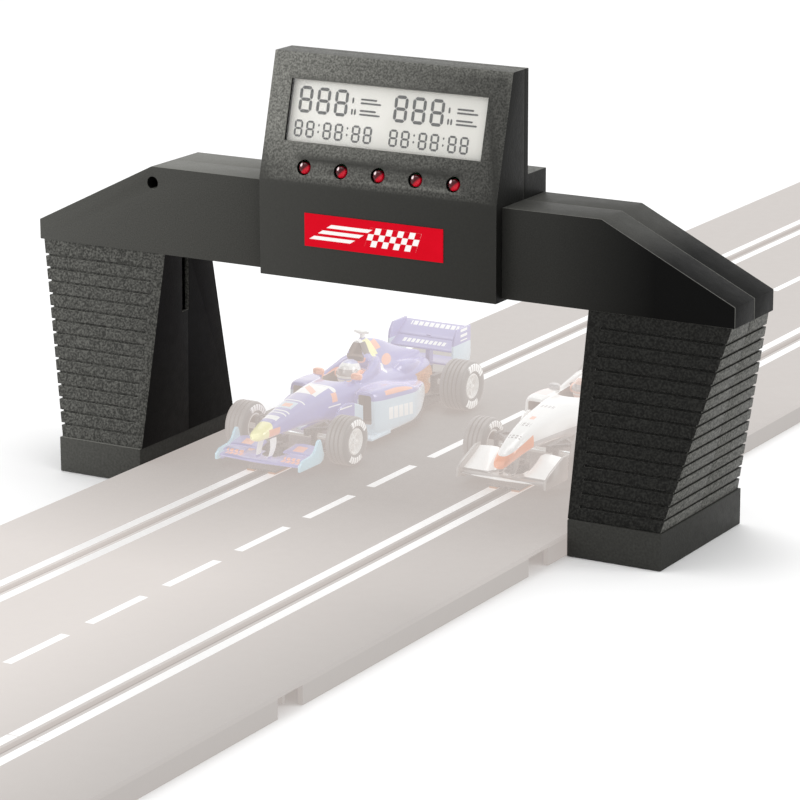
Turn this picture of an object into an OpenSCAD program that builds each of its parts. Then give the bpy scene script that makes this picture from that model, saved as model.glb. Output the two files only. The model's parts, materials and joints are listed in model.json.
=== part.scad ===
// Slot car track set: a two-lane straight of snap-together sections, a lap counter gantry that
// bridges both lanes, and two 1:32 single-seat racing cars.
// Millimetres, +Z up. The origin is on the table under the middle of the straight. X runs across
// the track, Y along it, and both cars race towards -Y.

/* [Track] */
// Width of the track
track_w = 198; // [196:1:200]
// Length of a full straight section
section_len = 345; // [335:5:350]
// Length of the short straight at the starting end
quarter_len = 86.25; // [84:0.25:88]
// Height of the running surface above the table
track_h = 8.6; // [8.4:0.1:9.4]
// Distance between the two lane slots
lane_gap = 99; // [97:1:101]
// Width of a lane slot
slot_w = 3.2; // [3:0.1:3.6]
// Depth of a lane slot
slot_depth = 6.4; // [6.2:0.1:6.6]
// Width of one contact rail
rail_w = 4.4; // [4:0.1:4.8]

/* [Gantry] */
// Distance from the straight's near end to the gantry's middle plane
gantry_from_end = 406.5; // [380:1:430]
// Width over the outer ends of the arms
gantry_w = 320.8; // [316:0.2:324]
// Height of the arms' top face
beam_top = 130.3; // [128:0.1:134]
// Height of the arms' underside
beam_bottom = 93.9; // [90:0.1:96]
// Thickness of the arms along the track
beam_t = 35; // [33:1:37]
// Depth of a leg at its lower end, along the track
leg_depth = 70; // [64:1:72]
// Height of a foot
foot_h = 14.8; // [13:0.2:16]
// Wall of the moulded housings
wall = 2.2; // [2:0.1:2.4]
// Number of grooves moulded into each leg
leg_grooves = 14; // [10:1:14]

/* [Display] */
// Width of the display unit
head_w = 108.4; // [106:0.2:110]
// Middle of the display unit, across the track
head_x = 6.1; // [4:0.1:8]
// Height of the display unit's top
head_top = 181.9; // [178:0.1:186]
// Lean of the display face back from upright, in degrees
face_tilt = 15.05; // [14:0.05:16]
// Width of the display window
window_w = 89.6; // [80:0.2:90]
// Height of the display window, up the sloping face
window_h = 25; // [20:0.5:26]

/* [Cars] */
// Where the blue car's front axle stands along the track
blue_axle_y = -148.4; // [-160:0.1:-120]
// Where the silver car's front axle stands along the track
silver_axle_y = -121.7; // [-130:0.1:-100]
// Distance between the axles
wheelbase = 99; // [98:0.5:100]
// Radius of a front tyre
front_tyre_r = 10.3; // [10:0.1:10.5]
// Radius of a rear tyre
rear_tyre_r = 11; // [10.9:0.05:11.2]
// Width over the rear tyres
rear_track_w = 59; // [58:0.5:60]
// Teeth on the crown gear, three for each pinion tooth
crown_teeth = 27; // [27:27:27]

/* [Hidden] */
$fn = 48;
thin = 0.1;
eps = 0.02;

// Track
full_sections = 3;
track_len = quarter_len + full_sections * section_len;
track_y0 = -track_len / 2;
section_y = [for (i = [0 : full_sections - 1]) track_y0 + quarter_len + i * section_len];
lane_x = lane_gap / 2;
plate_t = 2.2;
plate_z = track_h - plate_t;
skirt_t = 2;
rib_t = 1.6;
rib_z = 1.2;
edge_bevel = 0.5;
slot_shoulder = 1.6;
slot_wall = 1.5;
rail_depth = 1.2;
rail_in = slot_w / 2 + slot_shoulder;
rail_end_gap = 0.4;
rail_clear = 0.05;
tongue_w = 9;
tongue_len = 7;
tongue_t = 1.8;
tongue_z = 2.2;
tongue_x = 14;
socket_clear = 0.4;
clip_notches = [83, 262];
clip_notch_w = 16;
clip_notch_in = 5;
clip_notch_top = track_h - 1.3;

// Gantry
gantry_y = track_y0 + gantry_from_end;
gantry_half = gantry_w / 2;
chamfer_x = 103.5;
arm_end_z = 102.3;
leg_in_top = 98;
leg_in_low = 99.2;
leg_out_top = 159;
leg_out_low = 139.2;
leg_half_top = beam_t / 2 - 0.7;
leg_half_low = leg_depth / 2;
leg_z0 = foot_h;
groove_h = 1;
groove_d = 1;
groove_pitch = 5.2;
groove_margin = 4.5;
groove_z0 = foot_h + 4.6;
foot_in = 99.6;
foot_out = 140;
foot_half = leg_half_low + 1;
plug_h = 4;
spigot_len = 10;
spigot_half_y = 14;
spigot_z = [97.2, 126.2];
fit_gap = 0.15;
sensor_x = 54.5;
sensor_y = -8;
sensor_r = 2.5;
sensor_h = 4.6;
// Screws of the arms: X, Z and the side that they enter from, -1 for the front and 1 for the rear
left_screws = [[103, 123.5, -1], [148, 99.6, 1]];
right_screws = [[103, 123.5, 1], [148, 99.6, 1]];
// Slot in a leg's inner face, just under the arm: its range in Y and in Z
leg_slot_y = [-4.3, 0.8];
leg_slot_z = [66.7, 90];

// Display
head_half = head_w / 2;
head_z0 = 92.7;
face_y = -22.2;
crease_z = 131.7;
back_y = 3.6;
ledge_y = 18.8;
ledge_z = 139.8;
light_count = 5;
light_pitch = 17.05;
light_s = 6.5;
light_r = 2.5;
light_hole_r = 3.2;
window_s = 16.5;
board_gap = 6;
board_t = 1.6;
board_w = 84;
board_s = [2, 45];
plate_z_range = [106.6, 120];
plate_x_range = [-26.7, 36.8];
label_t = 0.4;
button_r = 3.6;
button_z = 162;
button_x = 14;
button_proud = 1.8;
switch_x = 40;
switch_z = 108;
switch_travel = 3;
cover_half = 27;
cover_top = 127;
cover_t = 1.5;
cover_tongue = 1;
tongue_step = 0.6;
cell_r = 5.2;
cell_len = 44.5;
cell_z = [104, 115];
cell_y = 9.6;
head_screws = [[47, 133.2, 10], [49.4, 150, 1.6]];

// Screws
screw_r = 1.2;
screw_hole_r = 1.25;
screw_len = 14;
screw_head_r = 2.4;
screw_head_h = 1.8;
recess_r = 2.65;
boss_r = 3.3;
screw_seat = 10;

// Cars: measured from the front axle, +Y towards the tail, and from the running surface up
tyre_gap = 0.1;
front_track_w = 59;
front_tyre_w = 10;
rear_tyre_w = 12;
rim_r = 5.6;
axle_r = 1.2;
axle_hole_r = 1.25;
guide_y = -14;
pin_r = 2;
pin_hole_r = 2.05;
blade_half = 1.2;
blade_depth = 5.4;
floor_z = 1.8;
floor_t = 1.2;
pod_z = floor_z + floor_t;
seat_z = 15;
carrier_t = 2;
front_carrier_x = 11;
rear_carrier_x = 12;
crown_pitch_r = 7;
crown_face_w = 1.2;
crown_tooth_w = 0.45;
crown_tooth_h = 1;
pinion_teeth = crown_teeth / 3;
pinion_tip_r = 2.6;
pinion_root_r = 1.7;
pinion_tooth_w = 0.42;
mesh_x = 1.9;
motor_len = 22;
motor_w = 15;
motor_h = 11;
motor_end_y = wheelbase - crown_pitch_r - 3;
tail_y = wheelbase + 9;
shaft_r = 0.75;
shaft_hole_r = 0.8;
magnet_size = [20, 8, 2.4];
magnet_y = 66;

// ---------------------------------------------------------------- helpers

// An outline in X and Z, extruded evenly to both sides of the Y = 0 plane
module across(depth) {
    rotate([90, 0, 0]) linear_extrude(depth, center = true) children();
}

// An outline in Y and Z, extruded evenly to both sides of the X = 0 plane
module sideways(width) {
    rotate([90, 0, 90]) linear_extrude(width, center = true) children();
}

// A rod along Y from y0 to y1
module rod_y(r, y0, y1) {
    translate([0, y0, 0]) rotate([-90, 0, 0]) cylinder(r = r, h = y1 - y0);
}

// A rod along X, centred
module rod_x(r, length) {
    rotate([0, 90, 0]) cylinder(r = r, h = length, center = true);
}

// A block given by its two opposite corners
module block(low, high) {
    translate(low) cube(high - low);
}

module both_sides() {
    children();
    mirror([1, 0, 0]) children();
}

// Keeps the half in front of the seam (side = -1) or behind it (side = 1)
module seam_half(side, reach = 200) {
    intersection() {
        children();
        translate([-reach, side < 0 ? -reach : 0, 0]) cube([2 * reach, reach, reach]);
    }
}

// ---------------------------------------------------------------- track

// Cross-section of a straight: plate, side skirts and a channel under each slot
module track_profile() {
    half = track_w / 2;
    difference() {
        union() {
            polygon([
                [-half, 0], [-half, track_h - edge_bevel], [-half + edge_bevel, track_h],
                [half - edge_bevel, track_h], [half, track_h - edge_bevel], [half, 0],
                [half - skirt_t, 0], [half - skirt_t, plate_z],
                [-half + skirt_t, plate_z], [-half + skirt_t, 0]
            ]);
            for (x = [-lane_x, lane_x])
                translate([x - slot_w / 2 - slot_wall, rib_z])
                    square([slot_w + 2 * slot_wall, plate_z]);
        }
        for (x = [-lane_x, lane_x]) {
            translate([x - slot_w / 2, track_h - slot_depth]) square([slot_w, track_h]);
            for (side = [-1, 1])
                translate([x + side * (rail_in + rail_w / 2) - rail_w / 2 - rail_clear,
                           track_h - rail_depth])
                    square([rail_w + 2 * rail_clear, track_h]);
        }
    }
}

// A wall across the hollow underside, kept clear of the slot channels
module cross_rib(y) {
    channel = slot_w / 2 + slot_wall - eps;
    half = track_w / 2 - skirt_t + eps;
    block([-half, y, rib_z], [-lane_x - channel, y + rib_t, plate_z + eps]);
    block([-lane_x + channel, y, rib_z], [lane_x - channel, y + rib_t, plate_z + eps]);
    block([lane_x + channel, y, rib_z], [half, y + rib_t, plate_z + eps]);
}

// The tongues of one end: one beside each slot, on the right when looking out of that end
module end_tongues() {
    for (x = [-lane_x, lane_x])
        block([x + tongue_x, -tongue_len, tongue_z],
              [x + tongue_x + tongue_w, rib_t + eps, tongue_z + tongue_t]);
}

// The windows that take the neighbour's tongues
module end_sockets() {
    for (x = [-lane_x, lane_x])
        block([x - tongue_x - tongue_w - socket_clear, -1, tongue_z - socket_clear],
              [x - tongue_x + socket_clear, rib_t + 1, tongue_z + tongue_t + socket_clear]);
}

// One straight, lying from y = 0 to y = length
module straight_section(length, ribs, notches) {
    color("gainsboro") difference() {
        union() {
            translate([0, length / 2, 0]) across(length) track_profile();
            for (i = [0 : ribs]) cross_rib(i * (length - rib_t) / ribs);
            end_tongues();
            translate([0, length, 0]) rotate([0, 0, 180]) end_tongues();
        }
        end_sockets();
        translate([0, length, 0]) rotate([0, 0, 180]) end_sockets();
        for (y = notches)
            both_sides()
                block([track_w / 2 - clip_notch_in, y - clip_notch_w / 2, -1],
                      [track_w / 2 + 1, y + clip_notch_w / 2, clip_notch_top]);
    }
}

module quarter_straight() {
    translate([0, track_y0, 0]) straight_section(quarter_len, 2, [quarter_len / 2]);
}

module full_straight(index) {
    translate([0, section_y[index], 0]) straight_section(section_len, 4, clip_notches);
}

module straight_1() { full_straight(0); }

module straight_2() { full_straight(1); }

module straight_3() { full_straight(2); }

// Two steel strips beside each slot, one set for every section
module rails(length) {
    for (x = [-lane_x, lane_x])
        for (side = [-1, 1])
            translate([x + side * (rail_in + rail_w / 2), length / 2, track_h - rail_depth / 2])
                cube([rail_w, length - 2 * rail_end_gap, rail_depth], center = true);
}

module contact_rails() {
    color("silver") {
        translate([0, track_y0, 0]) rails(quarter_len);
        for (y = section_y) translate([0, y, 0]) rails(section_len);
    }
}

// ---------------------------------------------------------------- gantry

module at_gantry() {
    translate([0, gantry_y, 0]) children();
}

// The tapered block of a leg on the +X side, shrunk by inset on every upright face
module leg_block(inset, z_low = leg_z0, z_high = beam_bottom) {
    run = beam_bottom - leg_z0;
    function at(low, top, z) = low + (top - low) * (z - leg_z0) / run;
    function x_in(z) = at(leg_in_low, leg_in_top, z) + inset;
    function x_out(z) = at(leg_out_low, leg_out_top, z) - inset;
    function depth(z) = at(leg_half_low, leg_half_top, z) - inset;
    intersection() {
        across(3 * leg_depth)
            polygon([[x_in(z_low), z_low], [x_out(z_low), z_low],
                     [x_out(z_high), z_high], [x_in(z_high), z_high]]);
        sideways(3 * gantry_w)
            polygon([[-depth(z_low), z_low], [depth(z_low), z_low],
                     [depth(z_high), z_high], [-depth(z_high), z_high]]);
    }
}

// Outline of an arm from its start beside the display unit, shrunk by inset
module arm_outline(start, inset) {
    fall = (beam_top - arm_end_z) / (gantry_half - chamfer_x);
    polygon([
        [start, beam_bottom + inset], [start, beam_top - inset],
        [chamfer_x - inset * fall / 2, beam_top - inset],
        [gantry_half - inset, arm_end_z - inset * fall / 2],
        [gantry_half - inset, beam_bottom + inset]
    ]);
}

// Horizontal grooves round the outer side of a leg, leaving a plain margin at the inner edge
module leg_groove_cutter() {
    intersection() {
        difference() {
            leg_block(-1);
            leg_block(groove_d);
        }
        union() {
            for (i = [0 : leg_grooves - 1])
                block([leg_in_low + groove_margin, -leg_depth, groove_z0 + i * groove_pitch],
                      [gantry_half, leg_depth, groove_z0 + i * groove_pitch + groove_h]);
        }
    }
}

// Puts a screw, or its hole, in its place and turns it to the side that it enters from
module at_arm_screw(at) {
    translate([at[0], 0, at[1]]) rotate([0, 0, at[2] > 0 ? 180 : 0]) children();
}

module arm_bosses(screws) {
    for (at = screws) at_arm_screw(at) rod_y(boss_r, -beam_t / 2 + 1, beam_t / 2 - 1);
}

// Screw clearance in the half where a screw enters, pilot in the other half
module arm_screw_holes(screws) {
    for (at = screws) at_arm_screw(at) {
        rod_y(recess_r, -beam_t, -screw_seat);
        rod_y(screw_hole_r, -screw_seat - 1, screw_len - screw_seat + 0.5);
    }
}

// One half shell of an arm and its leg, on the +X side, with the spigot that enters the display
module arm_shell(start, side, screws) {
    seam_half(side) difference() {
        union() {
            difference() {
                union() {
                    across(beam_t) arm_outline(start, 0);
                    leg_block(0, leg_z0, beam_bottom + 1);
                }
                across(beam_t - 2 * wall) arm_outline(start - 1, wall);
                leg_block(wall, leg_z0 - 1, beam_bottom + wall + 1);
                leg_groove_cutter();
            }
            intersection() {
                arm_bosses(screws);
                across(beam_t) arm_outline(start, 0.2);
            }
            difference() {
                block([start - spigot_len, -spigot_half_y, spigot_z[0]],
                      [start + wall, spigot_half_y, spigot_z[1]]);
                block([start - spigot_len - 1, -spigot_half_y + wall, spigot_z[0] + wall],
                      [start + wall + 1, spigot_half_y - wall, spigot_z[1] - wall]);
            }
            difference() {
                block([start, -beam_t / 2 + 0.5, beam_bottom + 0.5],
                      [start + wall, beam_t / 2 - 0.5, beam_top - 0.5]);
                block([start - 1, -spigot_half_y, spigot_z[0]],
                      [start + wall + 1, spigot_half_y, spigot_z[1]]);
            }
        }
        arm_screw_holes(screws);
        block([leg_in_top - 1, leg_slot_y[0], leg_slot_z[0]],
              [leg_in_low + wall + 1, leg_slot_y[1], leg_slot_z[1]]);
    }
}

module sensor_hole(x, z) {
    translate([x, sensor_y, z - 1]) cylinder(r = sensor_r + 0.1, h = wall + 2);
}

module left_arm_front() {
    color("dimgray") at_gantry() difference() {
        mirror([1, 0, 0]) arm_shell(head_half - head_x, -1, left_screws);
        sensor_hole(-sensor_x, beam_bottom);
    }
}

module left_arm_rear() {
    color("dimgray") at_gantry() mirror([1, 0, 0]) arm_shell(head_half - head_x, 1, left_screws);
}

module right_arm_front() {
    color("dimgray") at_gantry() arm_shell(head_half + head_x, -1, right_screws);
}

module right_arm_rear() {
    color("dimgray") at_gantry() arm_shell(head_half + head_x, 1, right_screws);
}

// A hollow foot whose plug holds the two leg shells together
module foot() {
    difference() {
        union() {
            block([foot_in, -foot_half, 0], [foot_out, foot_half, foot_h]);
            leg_block(wall + fit_gap, leg_z0 - 1, leg_z0 + plug_h);
        }
        block([foot_in + wall, -foot_half + wall, -1],
              [foot_out - wall, foot_half - wall, foot_h - wall]);
        leg_block(2 * wall + fit_gap, leg_z0 - wall - 1, leg_z0 + plug_h + 1);
    }
}

module left_foot() { color("gray") at_gantry() mirror([1, 0, 0]) foot(); }

module right_foot() { color("gray") at_gantry() foot(); }

// ---------------------------------------------------------------- display unit

// Side outline of the display unit, shrunk by inset
module head_outline(inset) {
    function slope_y(z) = face_y + (z - crease_z) * tan(face_tilt) + inset / cos(face_tilt);
    polygon([
        [face_y + inset, head_z0 + inset],
        [face_y + inset, crease_z - inset * tan(face_tilt / 2)],
        [slope_y(head_top - inset), head_top - inset],
        [back_y - inset, head_top - inset],
        [back_y - inset, ledge_z - inset],
        [ledge_y - inset, ledge_z - inset],
        [ledge_y - inset, head_z0 + inset]
    ]);
}

module at_head() {
    translate([head_x, gantry_y, 0]) children();
}

// Puts its children on the sloping face: X across, Z up the slope, Y into the housing
module on_face() {
    at_head() translate([0, face_y, crease_z]) rotate([-face_tilt, 0, 0]) children();
}

// Openings in the side walls for the arm spigots
module spigot_windows() {
    for (side = [-1, 1])
        translate([side * head_half, 0, 0])
            block([-wall - 1, -spigot_half_y - fit_gap, spigot_z[0] - fit_gap],
                  [wall + 1, spigot_half_y + fit_gap, spigot_z[1] + fit_gap]);
}

module head_shell() {
    difference() {
        sideways(head_w) head_outline(0);
        sideways(head_w - 2 * wall) head_outline(wall);
        spigot_windows();
    }
}

// Bosses and screw holes of the display unit; its screws enter from behind
module head_bosses() {
    intersection() {
        both_sides() for (at = head_screws)
            translate([at[0], 0, at[1]]) rod_y(boss_r, -beam_t, ledge_y);
        sideways(head_w - 1) head_outline(0.5);
    }
}

module head_screw_holes() {
    both_sides() for (at = head_screws) translate([at[0], 0, at[1]]) {
        rod_y(recess_r, at[2], ledge_y + 1);
        rod_y(screw_hole_r, at[2] - screw_len - 0.5, at[2] + 1);
    }
}

module window_cut() {
    translate([-window_w / 2, -1, window_s]) cube([window_w, wall + 2, window_h]);
}

// The pads under the corners of the circuit board
module board_pads() {
    for (s = [board_s[0] + 1, board_s[1] - 2])
        translate([board_w / 2 - 4, wall - eps, s]) cube([5, board_gap - wall, 2]);
}

module each_light() {
    middle = (light_count - 1) / 2;
    for (i = [0 : light_count - 1]) translate([(i - middle) * light_pitch, 0, light_s]) children();
}

module display_front() {
    color("gray") difference() {
        at_head() seam_half(-1) difference() {
            union() {
                head_shell();
                head_bosses();
            }
            head_screw_holes();
        }
        on_face() {
            window_cut();
            each_light() rod_y(light_hole_r, -1, wall + 1);
        }
        at_gantry() sensor_hole(sensor_x, head_z0);
    }
    color("gray") on_face() both_sides() board_pads();
}

// Recess for the battery cover, open at the bottom, with a groove along both sides
module cover_recess() {
    block([-cover_half - fit_gap, ledge_y - cover_t - fit_gap, head_z0 - 1],
          [cover_half + fit_gap, ledge_y + 1, cover_top + fit_gap]);
    block([-cover_half - cover_tongue - fit_gap, ledge_y - cover_t - fit_gap, head_z0 - 1],
          [cover_half + cover_tongue + fit_gap, ledge_y - cover_t + tongue_step + fit_gap,
           cover_top]);
    block([-cover_half + 3, back_y, head_z0 + 4], [cover_half - 3, ledge_y + 1, cover_top - 3]);
}

// Shelves that hold the two cells
module cell_tray() {
    tray_half = cell_len / 2 + 1.6;
    top = cell_z[1] + cell_r + 0.4;
    bottom = cell_z[0] - cell_r - 0.4;
    for (z = [bottom - 1.2, top])
        block([-tray_half, 3, z], [tray_half, ledge_y - cover_t - 1, z + 1.2]);
    for (x = [-tray_half, tray_half - 1.2])
        block([x, 3, bottom - 1.2], [x + 1.2, ledge_y - cover_t - 1, top + 1.2]);
    block([-tray_half, 3, bottom - 1.2], [tray_half, 3.9, top + 1.2]);
}

module display_rear() {
    color("gray") at_head() difference() {
        union() {
            seam_half(1) difference() {
                union() {
                    head_shell();
                    head_bosses();
                }
                head_screw_holes();
                cover_recess();
            }
            // A beam ties the tray to the bottom wall
            block([-cell_len / 2 - 1.6, 3, head_z0 + wall - eps],
                  [cell_len / 2 + 1.6, 3.9, cell_z[0] - cell_r]);
            cell_tray();
        }
        for (x = [-button_x, button_x])
            translate([x, 0, button_z]) rod_y(button_r + fit_gap, 0, back_y + 1);
        block([switch_x - 4.2, ledge_y - wall - 1, switch_z - 1.7],
              [switch_x + 2 + switch_travel + 2.4, ledge_y + 1, switch_z + 1.7]);
    }
}

module lcd_window() {
    color([0.75, 0.8, 0.78, 0.5]) on_face()
        translate([-window_w / 2 + fit_gap, 0.9, window_s + fit_gap])
            cube([window_w - 2 * fit_gap, 1.2, window_h - 2 * fit_gap]);
}

module lcd_panel() {
    color("darkseagreen") on_face()
        translate([-window_w / 2 - 1, wall + 0.1, window_s - 1])
            cube([window_w + 2, 2.6, window_h + 2]);
}

module start_lights() {
    color("red") on_face() each_light() {
        rod_y(light_r, 0.6, board_gap);
        intersection() {
            translate([0, 0.6, 0]) sphere(r = light_r);
            rod_y(light_r, -light_r - 1, 0.6 + eps);
        }
    }
}

module circuit_board() {
    color("darkgreen") on_face()
        translate([-board_w / 2, board_gap, board_s[0]])
            cube([board_w, board_t, board_s[1] - board_s[0]]);
}

module lap_sensors() {
    color("black") at_gantry() {
        translate([-sensor_x, sensor_y, beam_bottom - 0.6]) cylinder(r = sensor_r, h = sensor_h);
        translate([sensor_x, sensor_y, head_z0 - 0.6]) cylinder(r = sensor_r, h = sensor_h);
    }
}

module battery_cover() {
    color("gray") at_head() {
        block([-cover_half, ledge_y - cover_t, head_z0], [cover_half, ledge_y, cover_top]);
        block([-cover_half - cover_tongue, ledge_y - cover_t, head_z0],
              [cover_half + cover_tongue, ledge_y - cover_t + tongue_step, cover_top - 1]);
    }
}

module batteries() {
    color("goldenrod") at_head() for (z = cell_z)
        translate([0, cell_y, z]) {
            rod_x(cell_r, cell_len - 1);
            rod_x(1.9, cell_len);
        }
}

module name_plate() {
    color("crimson") at_gantry()
        block([plate_x_range[0], face_y - label_t, plate_z_range[0]],
              [plate_x_range[1], face_y, plate_z_range[1]]);
}

// A round push button with the inner collar that keeps it in the housing
module push_button(x, paint) {
    color(paint) at_head() translate([x, 0, button_z]) {
        rod_y(button_r, -1, back_y + button_proud);
        rod_y(button_r + 1, -1, back_y - wall - 0.2);
    }
}

module mode_button() { push_button(-button_x, "dimgray"); }

module start_button() { push_button(button_x, "red"); }

module power_switch() {
    color("black") at_head() {
        block([switch_x - 4, ledge_y - wall - 1.2, switch_z - 1.5],
              [switch_x, ledge_y + 1, switch_z + 1.5]);
        block([switch_x - 7, ledge_y - wall - 1.4, switch_z - 3],
              [switch_x + 3, ledge_y - wall - 0.2, switch_z + 3]);
    }
}

// A pan-head screw lying along +Y with its head's underside at y = 0
module screw() {
    difference() {
        union() {
            rod_y(screw_r, -eps, screw_len);
            rod_y(screw_head_r, -screw_head_h, 0);
        }
        for (turn = [0, 90]) rotate([0, turn, 0])
            translate([0, -screw_head_h, 0]) cube([2.6, 1.6, 0.6], center = true);
    }
}

module housing_screws() {
    color("black") {
        at_gantry() for (at = right_screws)
            at_arm_screw(at) translate([0, -screw_seat, 0]) screw();
        at_gantry() mirror([1, 0, 0]) for (at = left_screws)
            at_arm_screw(at) translate([0, -screw_seat, 0]) screw();
        at_head() both_sides() for (at = head_screws)
            translate([at[0], at[2], at[1]]) rotate([0, 0, 180]) screw();
    }
}

// ---------------------------------------------------------------- cars

// One end of a lofted body part: an eight-sided section across the car at y
module station(y, half, z0, z1, corner) {
    translate([0, y, 0]) across(thin)
        polygon([
            [-half, z0 + corner], [-half, z1 - corner], [-half + corner, z1],
            [half - corner, z1], [half, z1 - corner], [half, z0 + corner],
            [half - corner, z0], [-half + corner, z0]
        ]);
}

// The blade in the slot, the flag over the rails and the pin that the car swings on
module guide() {
    color("black") {
        block([-blade_half, guide_y - 12, -blade_depth], [blade_half, guide_y + 6, 1]);
        block([-7.4, guide_y - 14, 0.9], [7.4, guide_y + 4, floor_z - 0.2]);
        translate([0, guide_y, 0.9]) cylinder(r = pin_r, h = 8.6);
    }
}

module braids() {
    color("peru") both_sides()
        block([rail_in + 0.2, guide_y - 13.5, -0.05], [rail_in + 3.6, guide_y + 3, 0.9]);
}

// A wishbone: two arms meeting at the upright
module wishbone(z, inner_y, outer_y, inner_x, outer_x) {
    bar = 0.9;
    translate([0, 0, z]) linear_extrude(1.1) for (side = [-1, 1])
        polygon([
            [inner_x, outer_y + side * inner_y - bar], [inner_x, outer_y + side * inner_y + bar],
            [outer_x, outer_y + bar], [outer_x, outer_y - bar]
        ]);
}

// Floor pan, guide boss, axle carriers, wishbones and the cradles for motor and magnet
module chassis() {
    front_outer = front_track_w / 2 - front_tyre_w - 1;
    color("darkslategray") difference() {
        union() {
            translate([0, 0, floor_z]) linear_extrude(floor_t) polygon([
                [-5, -20], [5, -20], [6, -10], [11, -9], [11, 9], [19, 30], [20, 34], [20, 68],
                [12, 86], [12, tail_y], [-12, tail_y], [-12, 86], [-20, 68], [-20, 34], [-19, 30],
                [-11, 9], [-11, -9], [-6, -10]
            ]);
            translate([0, guide_y, floor_z]) cylinder(r = pin_r + 2, h = 6.4);
            both_sides() {
                block([front_carrier_x - carrier_t, -3, floor_z],
                      [front_carrier_x, 3, front_tyre_r + 3]);
                block([rear_carrier_x - carrier_t, wheelbase - 4, floor_z],
                      [rear_carrier_x, wheelbase + 4, rear_tyre_r + 3.4]);
                block([front_outer - 1.6, -2.4, 4.6], [front_outer, 2.4, 15.4]);
                wishbone(5, 7, 0, front_carrier_x - 1, front_outer - 1);
                wishbone(14, 7, 0, front_carrier_x - 1.5, front_outer - 1);
                block([front_carrier_x - carrier_t, -8.5, floor_z], [front_carrier_x, 8.5, 6.1]);
                block([front_carrier_x - carrier_t, -8.5, 12.2], [front_carrier_x, 8.5, 15.1]);
                wishbone(6, 9, wheelbase - 2, rear_carrier_x - 1, rear_tyre_edge() - 0.8);
                block([rear_carrier_x - carrier_t, wheelbase - 13, floor_z],
                      [rear_carrier_x, wheelbase + 8, 7.1]);
                block([rear_tyre_edge() - 2, wheelbase - 3.5, 4.5],
                      [rear_tyre_edge() - 0.8, wheelbase + 3.5, 15.5]);
                block([motor_w / 2 + 0.3, motor_end_y - motor_len, floor_z],
                      [motor_w / 2 + 1.5, motor_end_y, rear_tyre_r + 2]);
            }
            block([-6, tail_y - 0.4, floor_z], [6, tail_y + 1.6, 12]);
        }
        translate([0, guide_y, 0]) cylinder(r = pin_hole_r, h = 12);
        translate([0, 0, front_tyre_r]) rod_x(axle_hole_r, 80);
        translate([0, wheelbase, rear_tyre_r]) rod_x(axle_hole_r, 80);
        translate([0, magnet_y, floor_z]) cube(magnet_size + [0.2, 0.2, 10], center = true);
        block([0.5, wheelbase - 8.6, 0], [8, wheelbase + 8.6, floor_z + floor_t + 1]);
    }
}

// Inner edge of a rear tyre
function rear_tyre_edge() = rear_track_w / 2 - rear_tyre_w;

// Nose, cockpit, sidepods and engine cover, moulded as one hollow shell
module body_shell(paint) {
    color(paint) difference() {
        union() {
            hull() {
                station(-33.4, 2.6, 13.8, 16.8, 0.8);
                station(-22, 4.3, 14, 20.6, 1.4);
                station(0, 6.8, 13.8, 24.8, 2);
                station(15, 8.8, 12.2, 26.4, 2.6);
            }
            hull() {
                station(14, 8.8, 12, 26.4, 2.6);
                station(30, 12.2, 5, 26.4, 3);
                station(54, 12, 4, 26, 3);
            }
            both_sides() hull() {
                block([8, 28.5, 7], [19, 29.5, 23.4]);
                block([8, 36, pod_z], [22.4, 37, 23.4]);
                block([8, 61, pod_z], [22.4, 62, 19]);
                block([8, 84, pod_z], [13, 85, 14]);
            }
            hull() {
                station(49.4, 5.6, 20, 38.9, 2.4);
                station(58, 6, 18, 37.8, 2.4);
                station(62, 9.4, 14, 24, 2);
                station(102, 3.4, 13, 22.6, 1.2);
            }
            hull() {
                station(54, 12, 4, 25, 3);
                station(88, 9.4, 13.4, 20, 2);
            }
            // Camera pod on its post
            block([-3.7, 52, 41.2], [3.7, 56, 42.6]);
            block([-0.6, 52.6, 37], [0.6, 55.4, 41.4]);
        }
        // Cockpit and the hollow under it
        block([-7, 27, seat_z], [7, 49, 40]);
        block([-6.6, -10, 2], [6.6, 22, 20]);
        block([-9.6, 16, 2], [9.6, 50, seat_z - 1.4]);
        block([-10.4, 30, 2], [10.4, 64, seat_z - 1.4]);
        block([-9.6, 62, 2], [9.6, 104, 17.6]);
        both_sides() block([10, 38, 2], [19.8, 64, 16]);
        both_sides() block([9, 62, 2], [11.4, 88, 12]);
        // Room for the crown gear
        block([1.4, wheelbase - crown_pitch_r - 1.6, 2],
              [9.6, wheelbase + crown_pitch_r + 1.6, rear_tyre_r + crown_pitch_r + 1.4]);
        // Mouth of the air intake
        translate([0, 48, 34]) rod_y(2.6, 0, 6);
    }
}

// Helmet and shoulders
module driver(paint) {
    color(paint) {
        translate([0, 43.6, 26.9]) sphere(r = 4.9);
        translate([0, 43.6, 17]) cylinder(r = 3, h = 6);
        block([-6.4, 37, seat_z], [6.4, 48, 21]);
    }
}

module front_wing(paint) {
    color(paint) {
        difference() {
            block([-20.2, -28.6, 4.4], [20.2, -15.4, 5.8]);
            translate([0, guide_y, 4]) cylinder(r = pin_r + 2.4, h = 2);
        }
        both_sides() {
            block([19.4, -30.4, 3.2], [20.8, -11, 13.6]);
            block([7.5, -19.4, 7.6], [19.6, -12.6, 8.8]);
            block([7.5, -19.4, 5.6], [8.5, -13, 8.8]);
            block([1.8, -27, 5.6], [2.8, -19, 13.4]);
        }
    }
}

module rear_wing(paint) {
    color(paint) {
        both_sides() block([15.6, 103.6, 13], [16.8, 119.4, 33]);
        block([-15.8, 105, 25], [15.8, 112, 26.4]);
        block([-15.8, 110, 29], [15.8, 118.4, 30.4]);
        block([-15.8, 110, 15.6], [15.8, 118.4, 17]);
        block([-1.2, tail_y + 1.6, 6], [1.2, tail_y + 5, 29.4]);
    }
}

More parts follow.
